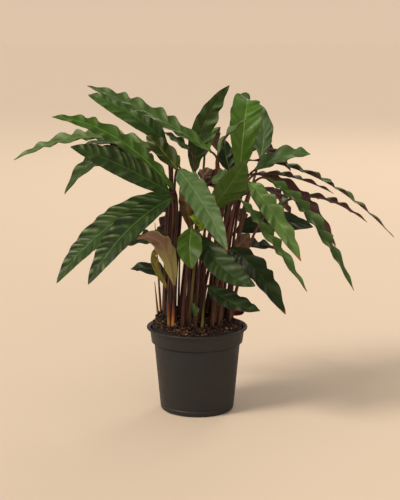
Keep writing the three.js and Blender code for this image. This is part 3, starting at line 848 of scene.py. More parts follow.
@dataclass(frozen=True)
class Settling:
    """The leaning of the leaves off each other, as in the plain model."""

    rounds: int = 40
    blade_room: float = 5.6
    tip_room: float = 2.0
    stalk_room: float = 2.6
    together: float = 0.75
    stalk_spots: int = 12
    blade_spots: tuple[float, ...] = (-1.0, -0.5, 0.0, 0.5, 1.0)
    lean: Triple = (0.5, 1.0, 0.5)

    def cloud(self, leaf: Leaf | Spear) -> Cloud:
        """The points of one leaf or shoot."""
        t = np.arange(self.stalk_spots) / self.stalk_spots
        points, room = leaf.stalk(t), np.full(len(t), self.stalk_room)
        holds = np.stack([4 * t * (1 - t), 0 * t, 0 * t])
        stalk = np.ones(len(t), bool)
        if isinstance(leaf, Leaf):
            t = np.arange(leaf.half_waves + 1) / leaf.half_waves
            side = np.array(self.blade_spots)
            blade = leaf.surface(side[None, :], t[:, None], np.zeros((1, 1))).reshape(-1, 3)
            t = np.repeat(t, len(side))
            points = np.concatenate([blade, points])
            room = np.concatenate([lerp(self.tip_room, self.blade_room, leaf.habit.outline(t)), room])
            holds = np.concatenate([np.stack([0 * t, 4 * t * (1 - t), t**2]), holds], axis=1)
            stalk = np.arange(len(points)) >= len(blade)
        low, high = points.min(0) - self.blade_room, points.max(0) + self.blade_room
        return Cloud(points, room, holds, stalk, leaf.habit.home(leaf.foot), low, high)

    def settle(self, leaves: list[Leaf | Spear]) -> None:
        """Moves the bows, middles and tips of the leaves until they hardly touch."""
        lean = np.array(self.lean)
        for _ in range(self.rounds):
            clouds = [self.cloud(leaf) for leaf in leaves]
            sums = np.zeros((len(leaves), 3, 3))
            weights = np.zeros((len(leaves), 3))
            for a, one in enumerate(clouds):
                for b in range(a + 1, len(clouds)):
                    other = clouds[b]
                    if (one.low > other.high).any() or (other.low > one.high).any():
                        continue
                    apart = one.points[:, None] - other.points[None]
                    distance = np.linalg.norm(apart, axis=-1)
                    room = one.room[:, None] + other.room[None]
                    if one.home == other.home:
                        room = np.where(one.stalk[:, None] & other.stalk[None], room * self.together, room)
                    close = distance < room
                    if not close.any():
                        continue
                    push = np.where(close, 0.5 * (room - distance) / np.maximum(distance, 1e-9), 0.0)
                    ways = apart * push[..., None] * lean
                    sums[a] += one.holds @ ways.sum(1)
                    sums[b] -= other.holds @ ways.sum(0)
                    weights[a] += one.holds @ close.sum(1)
                    weights[b] += other.holds @ close.sum(0)
            moves = sums / np.maximum(weights, 1e-12)[..., None]
            for leaf, (bow, middle, tip) in zip(leaves, moves):
                leaf.bow = leaf.bow + bow
                if isinstance(leaf, Leaf):
                    leaf.middle = leaf.middle + middle
                    leaf.tip = leaf.tip + tip


# One row for each young rolled shoot that carries no blade yet: where it leaves the soil, its tip and its
# tint, from 0, wine red, to 1, olive.
SPEARS = [
    ((-51, 20), (-58, 2, 262), 0.86),
    ((-55, 13), (-59, 8, 178), 0.93),
    ((-26, -8), (-22, -14, 290), 0.2),
    ((-5, 10), (-2, 4, 300), 0.4),
    ((8, -16), (12, -24, 280), 0.3),
    ((20, 8), (26, 4, 300), 0.9),
    ((33, -6), (37, -12, 270), 0.55),
]

# One row for each leaf: its name, the neck where the stalk ends and the blade begins, the middle and the tip
# of the midrib, the blade's width, the way that its upper side faces, and how that side looks.
LEAVES = [
    ("left_high", (20, 3, 359), (-70, 12, 403), (-152, 15, 439), 30, (0.1, -0.5, 0.85), Top.BRIGHT),
    ("left_high_back", (-42, 30, 369), (-97, 50, 411), (-153, 70, 433), 35, (0.2, -0.85, 0.5), Top.OLD),
    ("left_lime", (-31, -20, 310), (-106, -50, 384), (-186, -75, 412), 25, (0.3, -0.75, 0.6), Top.YOUNG),
    ("left_level", (-44, 0, 357), (-142, 0, 386), (-245, -5, 354), 30, (0.1, -0.35, 0.9), Top.BRIGHT),
    ("left_purple_tip", (-47, 15, 321), (-104, 35, 366), (-165, 60, 362), 28, (0.1, -0.35, 0.9), Top.OLD),
    ("left_broad", (-36, -35, 308), (-101, -75, 350), (-161, -110, 377), 37, (0.2, -0.85, 0.5), Top.OLD),
    ("left_arched", (-43, 5, 312), (-119, 15, 350), (-181, 20, 299), 36, (-0.3, -0.6, 0.75), Top.MATURE),
    ("left_low_back", (-34, -15, 305), (-121, -50, 262), (-186, -70, 192), 42, (-0.5, -0.75, 0.45), Top.OLD),
    ("left_low_front", (-32, -35, 302), (-91, -85, 263), (-140, -115, 198), 42, (-0.4, -0.8, 0.4), Top.OLD),
    ("left_shade", (-42, 28, 231), (-75, 48, 232), (-109, 75, 216), 28, (0, -0.6, 0.8), Top.DEEP_SHADE),
    ("left_lowest", (-41, 32, 175), (-66, 52, 188), (-96, 70, 184), 24, (0, -0.6, 0.8), Top.DEEP_SHADE),
    ("front_long", (-25, -35, 339), (8, -98, 303), (39, -152, 250), 34, (-0.15, -0.9, 0.35), Top.GREY),
    ("front_bright", (19, -50, 286), (42, -75, 320), (64, -75, 354), 48, (0.5, -0.8, -0.25), Top.FRESH),
    ("top_bright", (58, 3, 325), (65, 3, 413), (70, 37, 425), 42, (0.1, -0.95, 0.3), Top.YOUNG),
    ("top_dark", (-4, 20, 329), (8, 25, 389), (45, 30, 446), 31, (0.4, -0.85, 0.3), Top.MATURE),
    ("top_right", (88, 45, 347), (94, 70, 384), (86, 85, 421), 27, (-0.2, -0.9, 0.3), Top.GREY),
    ("top_narrow", (26, -15, 350), (42, -20, 384), (69, -22, 406), 20, (-0.7, -0.2, 0.65), Top.GREY),
    ("top_short", (46, 30, 329), (40, 40, 351), (38, 50, 372), 26, (0, -0.7, 0.7), Top.OLD),
    ("top_small", (-10, 0, 362), (-27, 0, 377), (-46, 5, 386), 18, (0.2, -0.4, 0.9), Top.GREY),
    ("top_olive", (-26, -10, 336), (-46, -5, 366), (-66, 5, 383), 30, (0.5, -0.75, 0.4), Top.OLIVE),
    ("right_high", (78, 12, 333), (113, 15, 348), (151, 15, 349), 28, (0, -0.6, 0.8), Top.GREY),
    ("right_longest", (73, 25, 346), (173, 5, 318), (265, -18, 240), 26, (0.35, 0, 0.95), Top.MATURE),
    ("right_level", (74, 8, 328), (130, 18, 318), (188, 25, 298), 24, (0.15, 0.12, 1), Top.GREY),
    ("right_purple", (89, 22, 326), (146, 30, 296), (193, 30, 229), 24, (0.3, 0.8, 0.5), Top.MATURE),
    ("right_olive", (104, 28, 277), (171, 61, 289), (246, 86, 248), 26, (0.1, 0.2, 1), Top.OLIVE),
    ("right_twisted", (94, 0, 324), (150, -38, 278), (207, -75, 184), 28, (0.6, -0.45, 0.6), Top.MATURE),
    ("right_front", (70, -30, 322), (99, -65, 283), (134, -100, 226), 28, (0.15, -0.9, 0.4), Top.BRIGHT),
    ("right_folded", (57, -45, 301), (93, -85, 262), (142, -125, 194), 25, (0.7, -0.5, 0.5), Top.MATURE),
    ("right_dark", (54, 32, 244), (111, 70, 252), (169, 104, 240), 38, (0, -0.75, 0.65), Top.DEEP_SHADE),
    ("right_shade", (54, 15, 227), (91, 38, 224), (124, 62, 213), 31, (0, -0.25, 1), Top.DEEP_SHADE),
    ("right_drooping", (43, -22, 231), (76, -62, 211), (116, -102, 158), 38, (0.45, -0.75, 0.5), Top.SHADED),
    ("front_dark", (5, -45, 252), (35, -95, 216), (74, -142, 203), 38, (0.1, -0.8, 0.6), Top.SHADED),
    ("front_low", (16, -40, 182), (46, -85, 169), (81, -125, 167), 30, (0.1, -0.7, 0.7), Top.SHADED),
    ("front_round", (-7, -52, 264), (-8, -80, 245), (-5, -98, 221), 34, (0, -0.85, 0.5), Top.FRESH),
    ("front_curl", (2, -44, 258), (3, -60, 269), (-11, -67, 277), 24, (0.3, -0.8, 0.5), Top.LIME),
    ("front_young", (-10, -22, 258), (-15, -32, 290), (-25, -32, 316), 24, (0.2, 0.95, 0.1), Top.OLIVE),
    ("middle_purple", (32, 2, 307), (17, -5, 321), (1, -12, 331), 28, (0.3, 0.8, 0.5), Top.OLIVE),
    ("middle_grey", (19, -18, 322), (31, -26, 328), (44, -34, 334), 22, (0, -0.8, 0.6), Top.GREY),
    ("back_left_inner", (-30, 38, 268), (-42, 78, 260), (-55, 122, 205), 34, (-0.3, 0.3, 0.9), Top.OLD),
    ("back_right_inner", (42, 40, 258), (52, 72, 268), (72, 125, 235), 32, (0.2, 0.3, 0.9), Top.MATURE),
    ("back_high", (10, 40, 350), (15, 95, 380), (30, 165, 345), 34, (0, 0.3, 0.95), Top.BRIGHT),
    ("back_left_high", (-25, 42, 335), (-70, 100, 352), (-125, 165, 310), 36, (-0.2, 0.3, 0.9), Top.MATURE),
    ("back_right_high", (50, 45, 335), (90, 105, 355), (140, 170, 315), 36, (0.2, 0.3, 0.9), Top.MATURE),
    ("back_left_low", (-35, 38, 269), (-91, 80, 251), (-147, 125, 190), 34, (-0.4, 0.4, 0.8), Top.OLD),
    ("back_right_low", (55, 42, 290), (100, 95, 295), (140, 155, 250), 34, (0.4, 0.4, 0.8), Top.OLD),
    ("back_middle", (5, 45, 300), (0, 110, 300), (-20, 175, 240), 38, (0, 0.5, 0.85), Top.BRIGHT),
    ("back_low", (20, 42, 240), (30, 95, 235), (45, 145, 185), 30, (0, 0.5, 0.85), Top.OLD),
    ("fading_pink", (-31, -38, 183), (-46, -74, 245), (-78, -93, 257), 23, (-0.3, 0.75, 0.5), Top.STRAW),
    ("fading_yellow", (-41, -40, 180), (-57, -55, 218), (-53, -60, 236), 12, (0.6, -0.7, 0.3), Top.STRAW),
    ("fading_tan", (49, -14, 225), (60, -22, 238), (71, -28, 250), 22, (0.3, 0.9, -0.3), Top.OLIVE),
    ("sprout_rolled", (-1, -38, 138), (-3, -42, 149), (-8, -45, 161), 10, (0.5, -0.8, 0.2), Top.GREY),
    ("sprout_red", (50, 28, 126), (56, 25, 135), (55, 21, 146), 20, (0.35, -0.9, 0.3), Top.WINE),
    ("middle_brown", (8, -10, 322), (14, -15, 330), (24, -14, 338), 18, (0.2, 0.8, 0.5), Top.OLIVE),
]

# These blades are nearly flat along their edges.
CALM_BLADES = (
    "left_broad", "left_low_back", "left_low_front", "front_bright", "front_dark", "front_low", "front_round",
    "right_dark",
)

# The stalks whose feet are bright, from yellow green to orange.
BRIGHT_FEET = {
    "fading_pink": 1.0, "fading_yellow": 0.9, "right_drooping": 0.86, "front_low": 0.72, "fading_tan": 0.8
}

# The undersides that aren't purple.
UNDERSIDES = {
    Under.DARK: (
        "left_arched", "left_low_back", "left_low_front", "left_shade", "left_lowest", "top_small",
        "right_dark", "right_drooping", "front_dark", "front_low", "sprout_rolled",
    ),
    Under.OLIVE: ("front_young",),
    Under.UMBER: ("right_olive",),
    Under.FADING_PINK: ("fading_pink", "fading_yellow"),
    Under.FADING_TAN: ("fading_tan", "middle_brown"),
}

# The second number of the scatter for each thing that differs from leaf to leaf.
TONE_DRAW, STALK_DRAW, FOOT_DRAW = 31, 57, 91


@dataclass(frozen=True)
class Blemish:
    """A dry brown spot on a blade: its place along and across, and its size in millimetres."""

    along: float
    side: float
    size: float


BLEMISHES = {
    "right_drooping": (Blemish(0.42, 0.8, 3.2), Blemish(1.0, 0.0, 4.0)),
    "right_front": (Blemish(0.98, 0.6, 5.0),),
    "fading_pink": (Blemish(1.0, 0.0, 5.0),),
    "front_long": (Blemish(1.0, 0.0, 4.5),),
    "left_lowest": (Blemish(1.0, 0.0, 3.0),),
    "right_longest": (Blemish(1.0, 0.0, 6.0),),
}


# ---- The sub-assemblies ----


@dataclass(frozen=True)
class Blades:
    """The blades of all leaves, each a thin closed sheet with its waves, midrib and both finishes."""

    thickness: float = 0.55
    tip_width: float = 0.9
    rows_per_half_wave: int = 6
    columns: int = 17
    crowding: float = 1.3  # the columns lie closer together near the midrib
    rib_height: float = 1.0
    rib_width: float = 1.5
    groove_depth: float = 0.25
    ruffle: float = 0.25
    smoother_half: float = 0.5  # one half of each blade is less pleated
    pleat: float = 0.038  # the finer pleats, one on each crest and trough of the edge, in widths of the blade
    tones: Pair = (0.2, 0.8)  # from the darkest blade to the lightest
    wave_shading: float = 0.55  # how much the broad waves show in the painted shading, beside the finer pleats
    pleats_come_in: Pair = (2.0, 10.0)  # the half widths of the blade between which they grow to their height

    def dryness(self, leaf: Leaf, side: Array, run: Array, aside: Array) -> Array:
        """How dry the tissue is at each point, from 0 to 1."""
        dry = np.zeros_like(run)
        for spot in BLEMISHES.get(leaf.name, ()):
            reach = leaf.width / 2 * leaf.habit.outline(np.array(min(spot.along, 0.999)))
            off = np.hypot(run - spot.along * leaf.length, aside - spot.side * reach)
            dry = np.maximum(dry, 1 - smoothstep(off, 0.4 * spot.size, spot.size))
        return dry

    def skin(self, leaf: Leaf) -> Skin:
        """The sheet of one blade."""
        rows = leaf.half_waves * self.rows_per_half_wave + 1
        t = np.linspace(0, 1, rows)[:, None]
        even = np.linspace(-1, 1, self.columns)[None, :]
        side = np.sign(even) * np.abs(even) ** self.crowding
        wave = leaf.wave(t, side)
        middle = leaf.surface(side, t, wave, self.tip_width)
        reach = leaf.width / 2 * leaf.habit.outline(t)
        run = t * leaf.length + 0 * side
        aside = side * reach
        up = leaf.directions(t + 0 * side)[2]
        normal = np.cross(np.gradient(middle, axis=1), np.gradient(middle, axis=0))
        normal = unit(np.where(np.linalg.norm(normal, axis=-1, keepdims=True) > 1e-6, normal, up))
        # Small uneven ruffles between the pleats, more of them towards the edge.
        ripple = np.sin(run * 0.93 + leaf.index) * np.sin(run * 0.37 + 2.1 * leaf.index + 3 * side)
        half = np.where(side > 0, 1.0, self.smoother_half)
        finer = half * np.cos(2 * math.pi * leaf.station(t, side))
        pleats = finer * (1 - np.abs(side) ** 4)
        bulge = self.ruffle * ripple * np.abs(side) + self.pleat * leaf.width * pleats * np.abs(side) ** 0.5
        middle = middle + normal * (bulge * smoothstep(reach, *self.pleats_come_in))[..., None]
        slender = np.sqrt(np.clip(1 - t, 0, 1))
        near_rib = slender * np.exp(-((aside / self.rib_width) ** 2))
        upper = middle + normal * (self.thickness / 2 - self.groove_depth * near_rib)[..., None]
        lower = middle - normal * (self.thickness / 2 + self.rib_height * near_rib)[..., None]
        made = sheet(upper, lower)
        tone = np.full_like(run, lerp(*self.tones, scatter(leaf.index, TONE_DRAW)))
        # The crest value carries the painted shade of the hollows and the painted highlight of the crests.
        crest = lerp(finer, wave, self.wave_shading * leaf.waviness) * np.abs(side) ** 0.5
        spot_mm = np.stack([aside, run, crest], axis=-1).reshape(-1, 3)
        share = np.stack([side + 0 * t, t + 0 * side, tone], axis=-1).reshape(-1, 3)
        dry = self.dryness(leaf, side, run, aside).ravel()
        # Both sides carry the same values.
        values = {"spot_mm": spot_mm, "spot_share": share, "dryness": dry}
        made.values = {key: np.concatenate([value, value]) for key, value in values.items()}
        return made

    def build(self, leaves: list[Leaf]) -> None:
        """Makes and dresses a piece for each leaf."""
        for leaf in leaves:
            slot = "fading_leaf" if leaf.name.startswith("fading") else "leaf_blade"
            dress = [leaf.top.finish.material(), leaf.under.finish.material()]
            settle_in(self.skin(leaf).piece("blade_" + leaf.name, dress), slot, "leaf_" + leaf.name)


@dataclass(frozen=True)
class Stalks:
    """The stalks of each crown, from their buried feet to the necks, with the rolled young shoots."""

    habit: Habit
    sides: int = 12
    rings: int = 30
    shoot_rings: int = 16
    crown_sides: int = 20
    crown_levels: tuple[float, ...] = (-0.5, -0.3, 0.3, 0.5)  # shares of its height
    crown_radii: tuple[float, ...] = (0.85, 1.0, 0.95, 0.8)  # shares of its radius
    joint_length: float = 9.0  # the thicker joint right under the blade
    joint_swelling: float = 0.45
    sheath_height: float = 55.0  # the clasping lower part
    sheath_swelling: float = 0.18
    reach_into_blade: float = 2.5
    slender: float = 0.72  # the outer stalks with bright feet are thinner
    dull_foot: float = 0.55  # the most that the foot of any other stalk shows

    def tube(self, path: Array, radius: Array, squeeze: Array, tint: float, foot_tint: float) -> Skin:
        """A downy tube along a path.

        Args:
            path: The middles of the rings.
            radius: The radius at each ring.
            squeeze: How much wider than deep each ring is.
            tint: Which colour of stalk it is, from 0, wine red, to 1, olive.
            foot_tint: The same for its foot, from 0, dark brown, through yellow green to 1, orange.

        Returns:
            The tube's skin.
        """
        along = unit(np.gradient(path, axis=0))
        right = unit(np.cross(np.array([0.0, 1.0, 0.0]), along))
        front = np.cross(along, right)
        angle = circle(self.sides)[None, :, None]
        wide = (radius * (1 + squeeze))[:, None, None]
        deep = (radius * (1 - 0.5 * squeeze))[:, None, None]
        rings = path[:, None] + right[:, None] * wide * np.cos(angle) + front[:, None] * deep * np.sin(angle)
        made = lofted(rings)
        around = np.broadcast_to(circle(self.sides)[None, :] * 2.0, rings.shape[:2])
        height = np.broadcast_to((path[:, 2] - path[1, 2])[:, None], rings.shape[:2])
        spot = np.stack([around, height, np.full_like(height, tint)], axis=-1).reshape(-1, 3)
        made.values = {"stalk_spot": spot, "foot_tint": np.full(len(spot), foot_tint)}
        return made

    def stalk(self, leaf: Leaf) -> Skin:
        """The stalk of one leaf."""
        habit, foot = self.habit, leaf.foot
        t = np.linspace(0, 1, self.rings)
        path = np.concatenate([habit.root(foot)[None], leaf.stalk(t)])
        path[-1] += leaf.directions(0.0)[0] * (self.reach_into_blade + habit.gap)
        share = np.concatenate([[0.0], t])
        to_neck = (1 - share) * np.linalg.norm(leaf.neck - foot)
        height = path[:, 2] - foot[2]
        radius = lerp(habit.stalk_foot_radius, habit.stalk_neck_radius, share**0.8)
        joint = 1 - smoothstep(to_neck, 0.4 * self.joint_length, self.joint_length)
        radius = radius + self.joint_swelling * joint
        radius[-1] = 0.8 * habit.stalk_neck_radius
        squeeze = self.sheath_swelling * (1 - smoothstep(height, 0.0, self.sheath_height))
        tint = float(scatter(leaf.index, STALK_DRAW)) ** 1.6
        foot_tint = BRIGHT_FEET.get(leaf.name, self.dull_foot * float(scatter(leaf.index, FOOT_DRAW)))
        if leaf.name in BRIGHT_FEET:
            radius = radius * self.slender
        return self.tube(path, radius, squeeze, tint, foot_tint)

    def spear(self, young: Spear) -> Skin:
        """One rolled young shoot."""
        t = np.linspace(0, 1, self.shoot_rings)
        path = np.concatenate([self.habit.root(young.foot)[None], young.stalk(t)])
        radius = lerp(self.habit.stalk_foot_radius, self.habit.spear_tip_radius, np.concatenate([[0.0], t]))
        return self.tube(path, self.slender * radius, 0 * radius, young.tint, young.tint)

    def crown(self, centre: Array) -> Skin:
        """A buried crown."""
        level = np.array(self.crown_levels)[:, None] * self.habit.crown_height
        radius = np.array(self.crown_radii)[:, None] * self.habit.crown_radius
        made = lofted(hoop(radius, level, circle(self.crown_sides)) + centre)
        made.values = {"stalk_spot": np.zeros_like(made.points), "foot_tint": np.zeros(len(made.points))}
        return made

    def build(self, leaves: list[Leaf], spears: list[Spear]) -> None:
        """Makes and dresses a piece for each crown with its stalks."""
        dress = [RuddyStalk("stalk_skin").material()]
        grown: list[list[Skin]] = [[self.crown(centre)] for centre in self.habit.crown_centres()]
        for leaf in leaves:
            grown[self.habit.home(leaf.foot)].append(self.stalk(leaf))
        for young in spears:
            grown[self.habit.home(young.foot)].append(self.spear(young))
        for number, skins in enumerate(grown, 1):
            settle_in(merged(skins).piece(f"stalks_{number}", dress), "stalk", f"shoot_{number}")


@dataclass(frozen=True)
class Soil:
    """The potting mix: a rough body that fills the pot, and loose bark chips on it."""

    surface: SoilSurface = SoilSurface()
    sectors: int = 144
    rings: int = 44
    wall: tuple[Pair, ...] = ((47.4, 2.55), (49.3, 9.0), (57.6, 96.2), (62.4, 113.6))  # radius and height
    tone: float = 0.12  # of the body, where the chips run from dark to light
    roughness: float = 1.3
    smooth_rim: float = 1.5  # the width over which the lumps fade out at the wall
    under_chips: float = 0.4  # how far the body lies under the level of the plain soil
    shoulder: float = 7.0  # the width of the slope down to the lip
    shoulder_fall: float = 0.75
    chips: int = 2500
    chip_length: Pair = (2.2, 7.5)
    chip_breadth: Pair = (0.35, 0.8)  # as a share of its length
    chip_depth: Pair = (0.2, 0.5)
    chip_corners: int = 9
    chip_tilt: float = 0.45
    chip_lift: Pair = (0.4, 1.3)  # at least, and beyond that at most, as a share of its depth
    chip_tones: Pair = (0.1, 0.75)  # of the darkest, and how much lighter the lightest is
    chip_reach: float = 62.0
    clear_of_wall: float = 62.2  # no corner of a chip lies further out
    seed: int = 11

    def rough(self, x: Array, y: Array) -> Array:
        """The lumps of the surface above and below its level."""
        slow = np.sin(0.31 * x + 1.3) * np.cos(0.27 * y - 0.4) + np.sin(0.19 * x - 0.23 * y + 2.0)
        quick = np.sin(1.13 * x + 0.7 * y) * np.cos(0.91 * y - 0.5 * x) + np.sin(1.7 * y + 0.6 * x + 1.0)
        return self.roughness * (0.55 * slow + 0.35 * quick)

    def top(self, x: Array, y: Array) -> Array:
        """The height of the mix, which slopes down to the lip where it is heaped up."""
        radius = np.hypot(x, y)
        edge = self.wall[-1][0]
        level = self.surface.level(x, y)
        above = np.maximum(level - self.surface.pot_height, 0)
        slope = self.shoulder_fall * above * smoothstep(radius, edge - self.shoulder, edge)
        calm = 1 - smoothstep(radius, edge - self.smooth_rim, edge)
        return level - self.under_chips - slope + self.rough(x, y) * calm

    def body(self) -> Skin:
        """The body of the mix."""
        angle = circle(self.sectors)
        rings = [hoop(radius, height, angle) for radius, height in self.wall]
        for share in np.sqrt(np.linspace(1, 0.0004, self.rings)):
            ring = hoop(self.wall[-1][0] * share, 0.0, angle)
            ring[:, 2] = self.top(ring[:, 0], ring[:, 1])
            rings.append(ring)
        made = lofted(np.array(rings))
        made.values = {"chip_tone": np.full(len(made.points), self.tone)}
        return made

    def loose(self) -> Skin:
        """The loose chips, each the convex shape round a few scattered points, as one skin."""
        draw = np.random.default_rng(self.seed)
        mesh = bmesh.new()
        tones = []
        for _ in range(self.chips):
            length = lerp(*self.chip_length, draw.random() ** 1.8)
            breadth, depth = draw.uniform(*self.chip_breadth), draw.uniform(*self.chip_depth)
            size = np.array([length, length * breadth, length * depth])
            corners = unit(draw.normal(size=(self.chip_corners, 3)))
            corners = corners * draw.uniform(0.75, 1.0, (self.chip_corners, 1)) * size / 2
            turn = draw.uniform(0, 2 * math.pi)
            tilt, roll = draw.normal(0, self.chip_tilt), draw.normal(0, self.chip_tilt)
            corners = corners @ self.rotation(turn, tilt, roll).T
            radius, angle = self.chip_reach * math.sqrt(draw.random()), draw.uniform(0, 2 * math.pi)
            x, y = radius * math.cos(angle), radius * math.sin(angle)
            least, most = self.chip_lift
            lift = draw.uniform(0.0, most) * size[2] + least
            corners = corners + np.array([x, y, float(self.top(x, y)) + lift])
            out = np.maximum(np.hypot(corners[:, 0], corners[:, 1]), 1)
            corners[:, :2] *= np.minimum(1, self.clear_of_wall / out)[:, None]
            fresh = [mesh.verts.new(corner) for corner in corners]
            made = bmesh.ops.convex_hull(mesh, input=fresh)
            left_over = made["geom_interior"] + made["geom_unused"]
            inside = {each for each in left_over if isinstance(each, bmesh.types.BMVert)}
            bmesh.ops.delete(mesh, geom=list(inside), context="VERTS")
            dark, lighter = self.chip_tones
            tones += [dark + lighter * draw.random() ** 1.4] * (len(mesh.verts) - len(tones))
        mesh.verts.index_update()
        points = np.array([v.co for v in mesh.verts])
        faces = [tuple(v.index for v in face.verts) for face in mesh.faces]
        mesh.free()
        return Skin(points, faces, None, {"chip_tone": np.array(tones)})

    @staticmethod
    def rotation(turn: float, tilt: float, roll: float) -> Array:
        """The matrix of a turn about Z after a tilt about Y and a roll about X."""
        ct, st, cp, sp, cr, sr = (f(a) for a in (turn, tilt, roll) for f in (math.cos, math.sin))
        about_z = np.array([[ct, -st, 0], [st, ct, 0], [0, 0, 1]])
        about_y = np.array([[cp, 0, sp], [0, 1, 0], [-sp, 0, cp]])
        about_x = np.array([[1, 0, 0], [0, cr, -sr], [0, sr, cr]])
        return about_z @ about_y @ about_x

    def build(self) -> None:
        """Makes and dresses the body and the chips."""
        dress = [BarkMix("bark_mix").material()]
        settle_in(self.body().piece("potting_mix", dress, crease=180), "potting_mix", "soil")
        settle_in(self.loose().piece("bark_chips", dress, crease=30), "potting_mix", "soil")


@dataclass(frozen=True)
class Pot:
    """A round nursery pot with a wide band under its lip, a narrower foot and drain holes."""

    sides: int = 160
    rounding: float = 0.7
    arc_steps: int = 3
    outside: tuple[Pair, ...] = (  # radius and height, from the middle of the underside up to the lip
        (0.0, 0.0), (48.6, 0.0), (50.9, 2.2), (51.7, 7.2), (51.1, 8.0), (51.0, 8.8), (51.9, 9.8),
        (59.6, 93.6), (59.0, 94.6), (59.4, 95.9), (63.4, 96.2), (65.5, 114.0),
        (69.2, 114.8), (70.0, 115.6), (70.0, 117.2), (69.2, 118.0), (66.3, 118.0),
    )
    inside: tuple[Pair, ...] = (  # and down the inside
        (64.0, 116.4), (61.9, 97.7), (58.3, 95.4), (50.2, 8.0), (48.6, 2.2), (0.0, 2.2),
    )
    holes: int = 6
    hole_radius: float = 4.5
    hole_circle: float = 34.0
    notches: int = 4  # shallow drain slots under the foot
    notch_width: float = 17.0
    notch_height: float = 1.4
    notch_reach: Pair = (40.0, 60.0)  # from the middle
    below: float = -5.0  # where the cutting tools begin
    through: float = 5.0  # where the ones for the holes end

    def rounded(self, outline: tuple[Pair, ...]) -> list[Pair]:
        """The outline with each corner turned into a short arc."""
        points = np.array(outline)
        made = [tuple(points[0])]
        for before, corner, after in zip(points, points[1:], points[2:]):
            to_before, to_after = before - corner, after - corner
            cut = min(self.rounding, 0.4 * np.linalg.norm(to_before), 0.4 * np.linalg.norm(to_after))
            start = corner + cut * to_before / np.linalg.norm(to_before)
            end = corner + cut * to_after / np.linalg.norm(to_after)
            for share in np.linspace(0, 1, self.arc_steps + 1):
                bend = corner * 2 * share * (1 - share)
                made.append(tuple(start * (1 - share) ** 2 + bend + end * share**2))
        return [*made, tuple(points[-1])]

    def shell(self) -> Skin:
        """The pot's wall and floor, without the holes."""
        angle = circle(self.sides)
        outline = self.rounded(self.outside + self.inside)
        return lofted(np.array([hoop(max(radius, 0.05), height, angle) for radius, height in outline]))

    @staticmethod
    def cut(piece: bpy.types.Object, tool: Skin) -> None:
        """Cuts a tool's shape out of the pot."""
        shape = tool.piece("tool", [])
        step = piece.modifiers.new("cut", "BOOLEAN")
        step.operation = "DIFFERENCE"
        step.solver = "EXACT"
        step.object = shape
        rest = bpy.data.meshes.new_from_object(piece.evaluated_get(bpy.context.evaluated_depsgraph_get()))
        piece.modifiers.clear()
        piece.data = rest
        bpy.data.objects.remove(shape)

    def drill(self, piece: bpy.types.Object) -> None:
        """Cuts the drain holes through the floor and the slots under the foot."""
        ring = circle(28)
        hole = self.hole_radius * np.column_stack([np.cos(ring), np.sin(ring)])
        for angle in circle(self.holes):
            centre = self.hole_circle * np.array([math.cos(angle), math.sin(angle)])
            self.cut(piece, prism(centre + hole, self.below, self.through))
        near, far, half = *self.notch_reach, self.notch_width / 2
        slot = np.array([(near, -half), (far, -half), (far, half), (near, half)])
        for angle in circle(self.notches):
            turn = np.array([[math.cos(angle), math.sin(angle)], [-math.sin(angle), math.cos(angle)]])
            self.cut(piece, prism(slot @ turn, self.below, self.notch_height))
        piece.data.name = piece.name

    def build(self) -> None:
        """Makes and dresses the pot."""
        dress = [MouldedPolypropylene("moulded_polypropylene").material()]
        made = self.shell().piece("nursery_pot", dress, crease=35)
        self.drill(made)
        settle_in(made, "pot_plastic", "pot")


class LampKind(Enum):
    """The kinds of lamp: a softbox nearby, or a wide window far off that lights the whole floor evenly."""

    SOFTBOX = "AREA"
    WINDOW = "SUN"


@dataclass(frozen=True)
class Lamp:
    """A lamp: its place and the place it looks at in metres, its width, strength and colour.

    A softbox has its width in metres and its strength in watts, and a window in degrees and watts a square
    metre.
    """

    name: str
    kind: LampKind
    place: Triple
    target: Triple
    width: float
    strength: float
    tint: str

    def build(self) -> None:
        """Adds the lamp."""
        light = bpy.data.lights.new(self.name, self.kind.value)
        if self.kind is LampKind.SOFTBOX:
            light.shape = "DISK"
            light.size = self.width
        else:
            light.angle = math.radians(self.width)
        light.energy = self.strength
        light.color = linear(self.tint)[:3]
        lamp = bpy.data.objects.new(self.name, light)
        lamp.location = self.place
        way = Vector(self.target) - Vector(self.place)
        lamp.rotation_euler = way.to_track_quat("-Z", "Y").to_euler()
        bpy.context.scene.collection.objects.link(lamp)


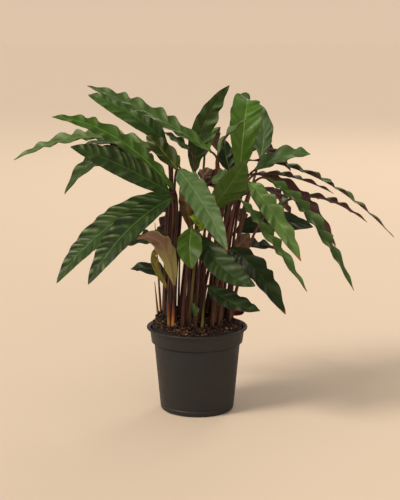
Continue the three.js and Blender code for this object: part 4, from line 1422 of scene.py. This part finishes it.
@dataclass(frozen=True)
class Studio:
    """A plain pale floor, soft light and the camera at the photograph's angle."""

    floor_radius: float = 60.0
    sky: str = "#bcb2aa"
    horizon: str = "#dfc5aa"
    horizon_height: float = 0.25  # the sine of the angle over which the horizon passes into the sky
    camera_place: Triple = (0.004, -1.660, 0.517)
    camera_pitch: float = 10.0  # degrees downwards
    lens: float = 88.1
    lamps: tuple[Lamp, ...] = (
        Lamp("window", LampKind.WINDOW, (-4.6, -2.6, 5.0), (0.0, 0.0, 0.28), 22.0, 2.6, "#fff1df"),
        Lamp("front_softbox", LampKind.SOFTBOX, (1.2, -4.0, 1.6), (0.0, 0.0, 0.25), 2.0, 20.0, "#fff4e6"),
        Lamp("back_softbox", LampKind.SOFTBOX, (1.5, 3.6, 3.2), (0.0, 0.0, 0.3), 1.6, 40.0, "#fff3e2"),
    )

    def sky_light(self) -> bpy.types.World:
        """A pale even sky that meets the floor at the horizon in the floor's own tone."""
        world = bpy.data.worlds.new("studio")
        world.use_nodes = True
        tree = world.node_tree
        tree.nodes.clear()
        way = add_node(tree, "TexCoord").outputs["Generated"]
        height = add_node(tree, "SeparateXYZ", {0: way}).outputs[2]
        share = add_node(tree, "MapRange", {0: height, 1: 0.0, 2: self.horizon_height, 4: 1.0}, **EASED)
        colour = add_node(tree, "Mix", {0: share, MIX_A: self.horizon, MIX_B: self.sky}, **COLOURS)
        sky = add_node(tree, "Background", {0: colour})
        add_node(tree, "OutputWorld", {0: sky})
        return world

    def build(self) -> None:
        """Adds the floor, the lamps, the sky and the camera."""
        rim = hoop(1.0, 0.0, circle(64)) * self.floor_radius / MM
        floor = Skin(rim, [tuple(range(len(rim)))]).piece("floor", [StudioPaper("studio_paper").material()])
        for lamp in self.lamps:
            lamp.build()
        scene = bpy.context.scene
        scene.world = self.sky_light()
        scene.view_settings.view_transform = "Standard"
        camera = bpy.data.objects.new("camera", bpy.data.cameras.new("camera"))
        camera.data.lens = self.lens
        camera.location = self.camera_place
        camera.rotation_euler = (math.radians(90 - self.camera_pitch), 0, 0)
        scene.collection.objects.link(camera)
        scene.camera = camera


def planted(habit: Habit) -> list[Leaf]:
    """The leaves of the table, before they lean off each other."""
    leaves = []
    for index, (name, *spots, width, face, top) in enumerate(LEAVES):
        neck, middle, tip = np.array(spots, float)
        facing = unit(np.array(face, float))
        under = next((kind for kind, names in UNDERSIDES.items() if name in names), Under.PURPLE)
        leaves.append(Leaf(name, index, neck, middle, tip, width, facing, top, under, habit))
    return leaves


def main() -> None:
    """Builds the plant, its pot and the studio."""
    logging.basicConfig(level=logging.INFO, format="%(message)s")
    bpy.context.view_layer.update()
    habit = Habit()
    leaves = planted(habit)
    spears = [Spear(foot, np.array(tip, float), tint, habit) for foot, tip, tint in SPEARS]
    Settling().settle(leaves + spears)
    LOG.info("%d leaves and %d spears settled", len(leaves), len(spears))
    Blades().build(leaves)
    Stalks(habit).build(leaves, spears)
    Soil().build()
    Pot().build()
    Studio().build()


if __name__ == "__main__":
    main()
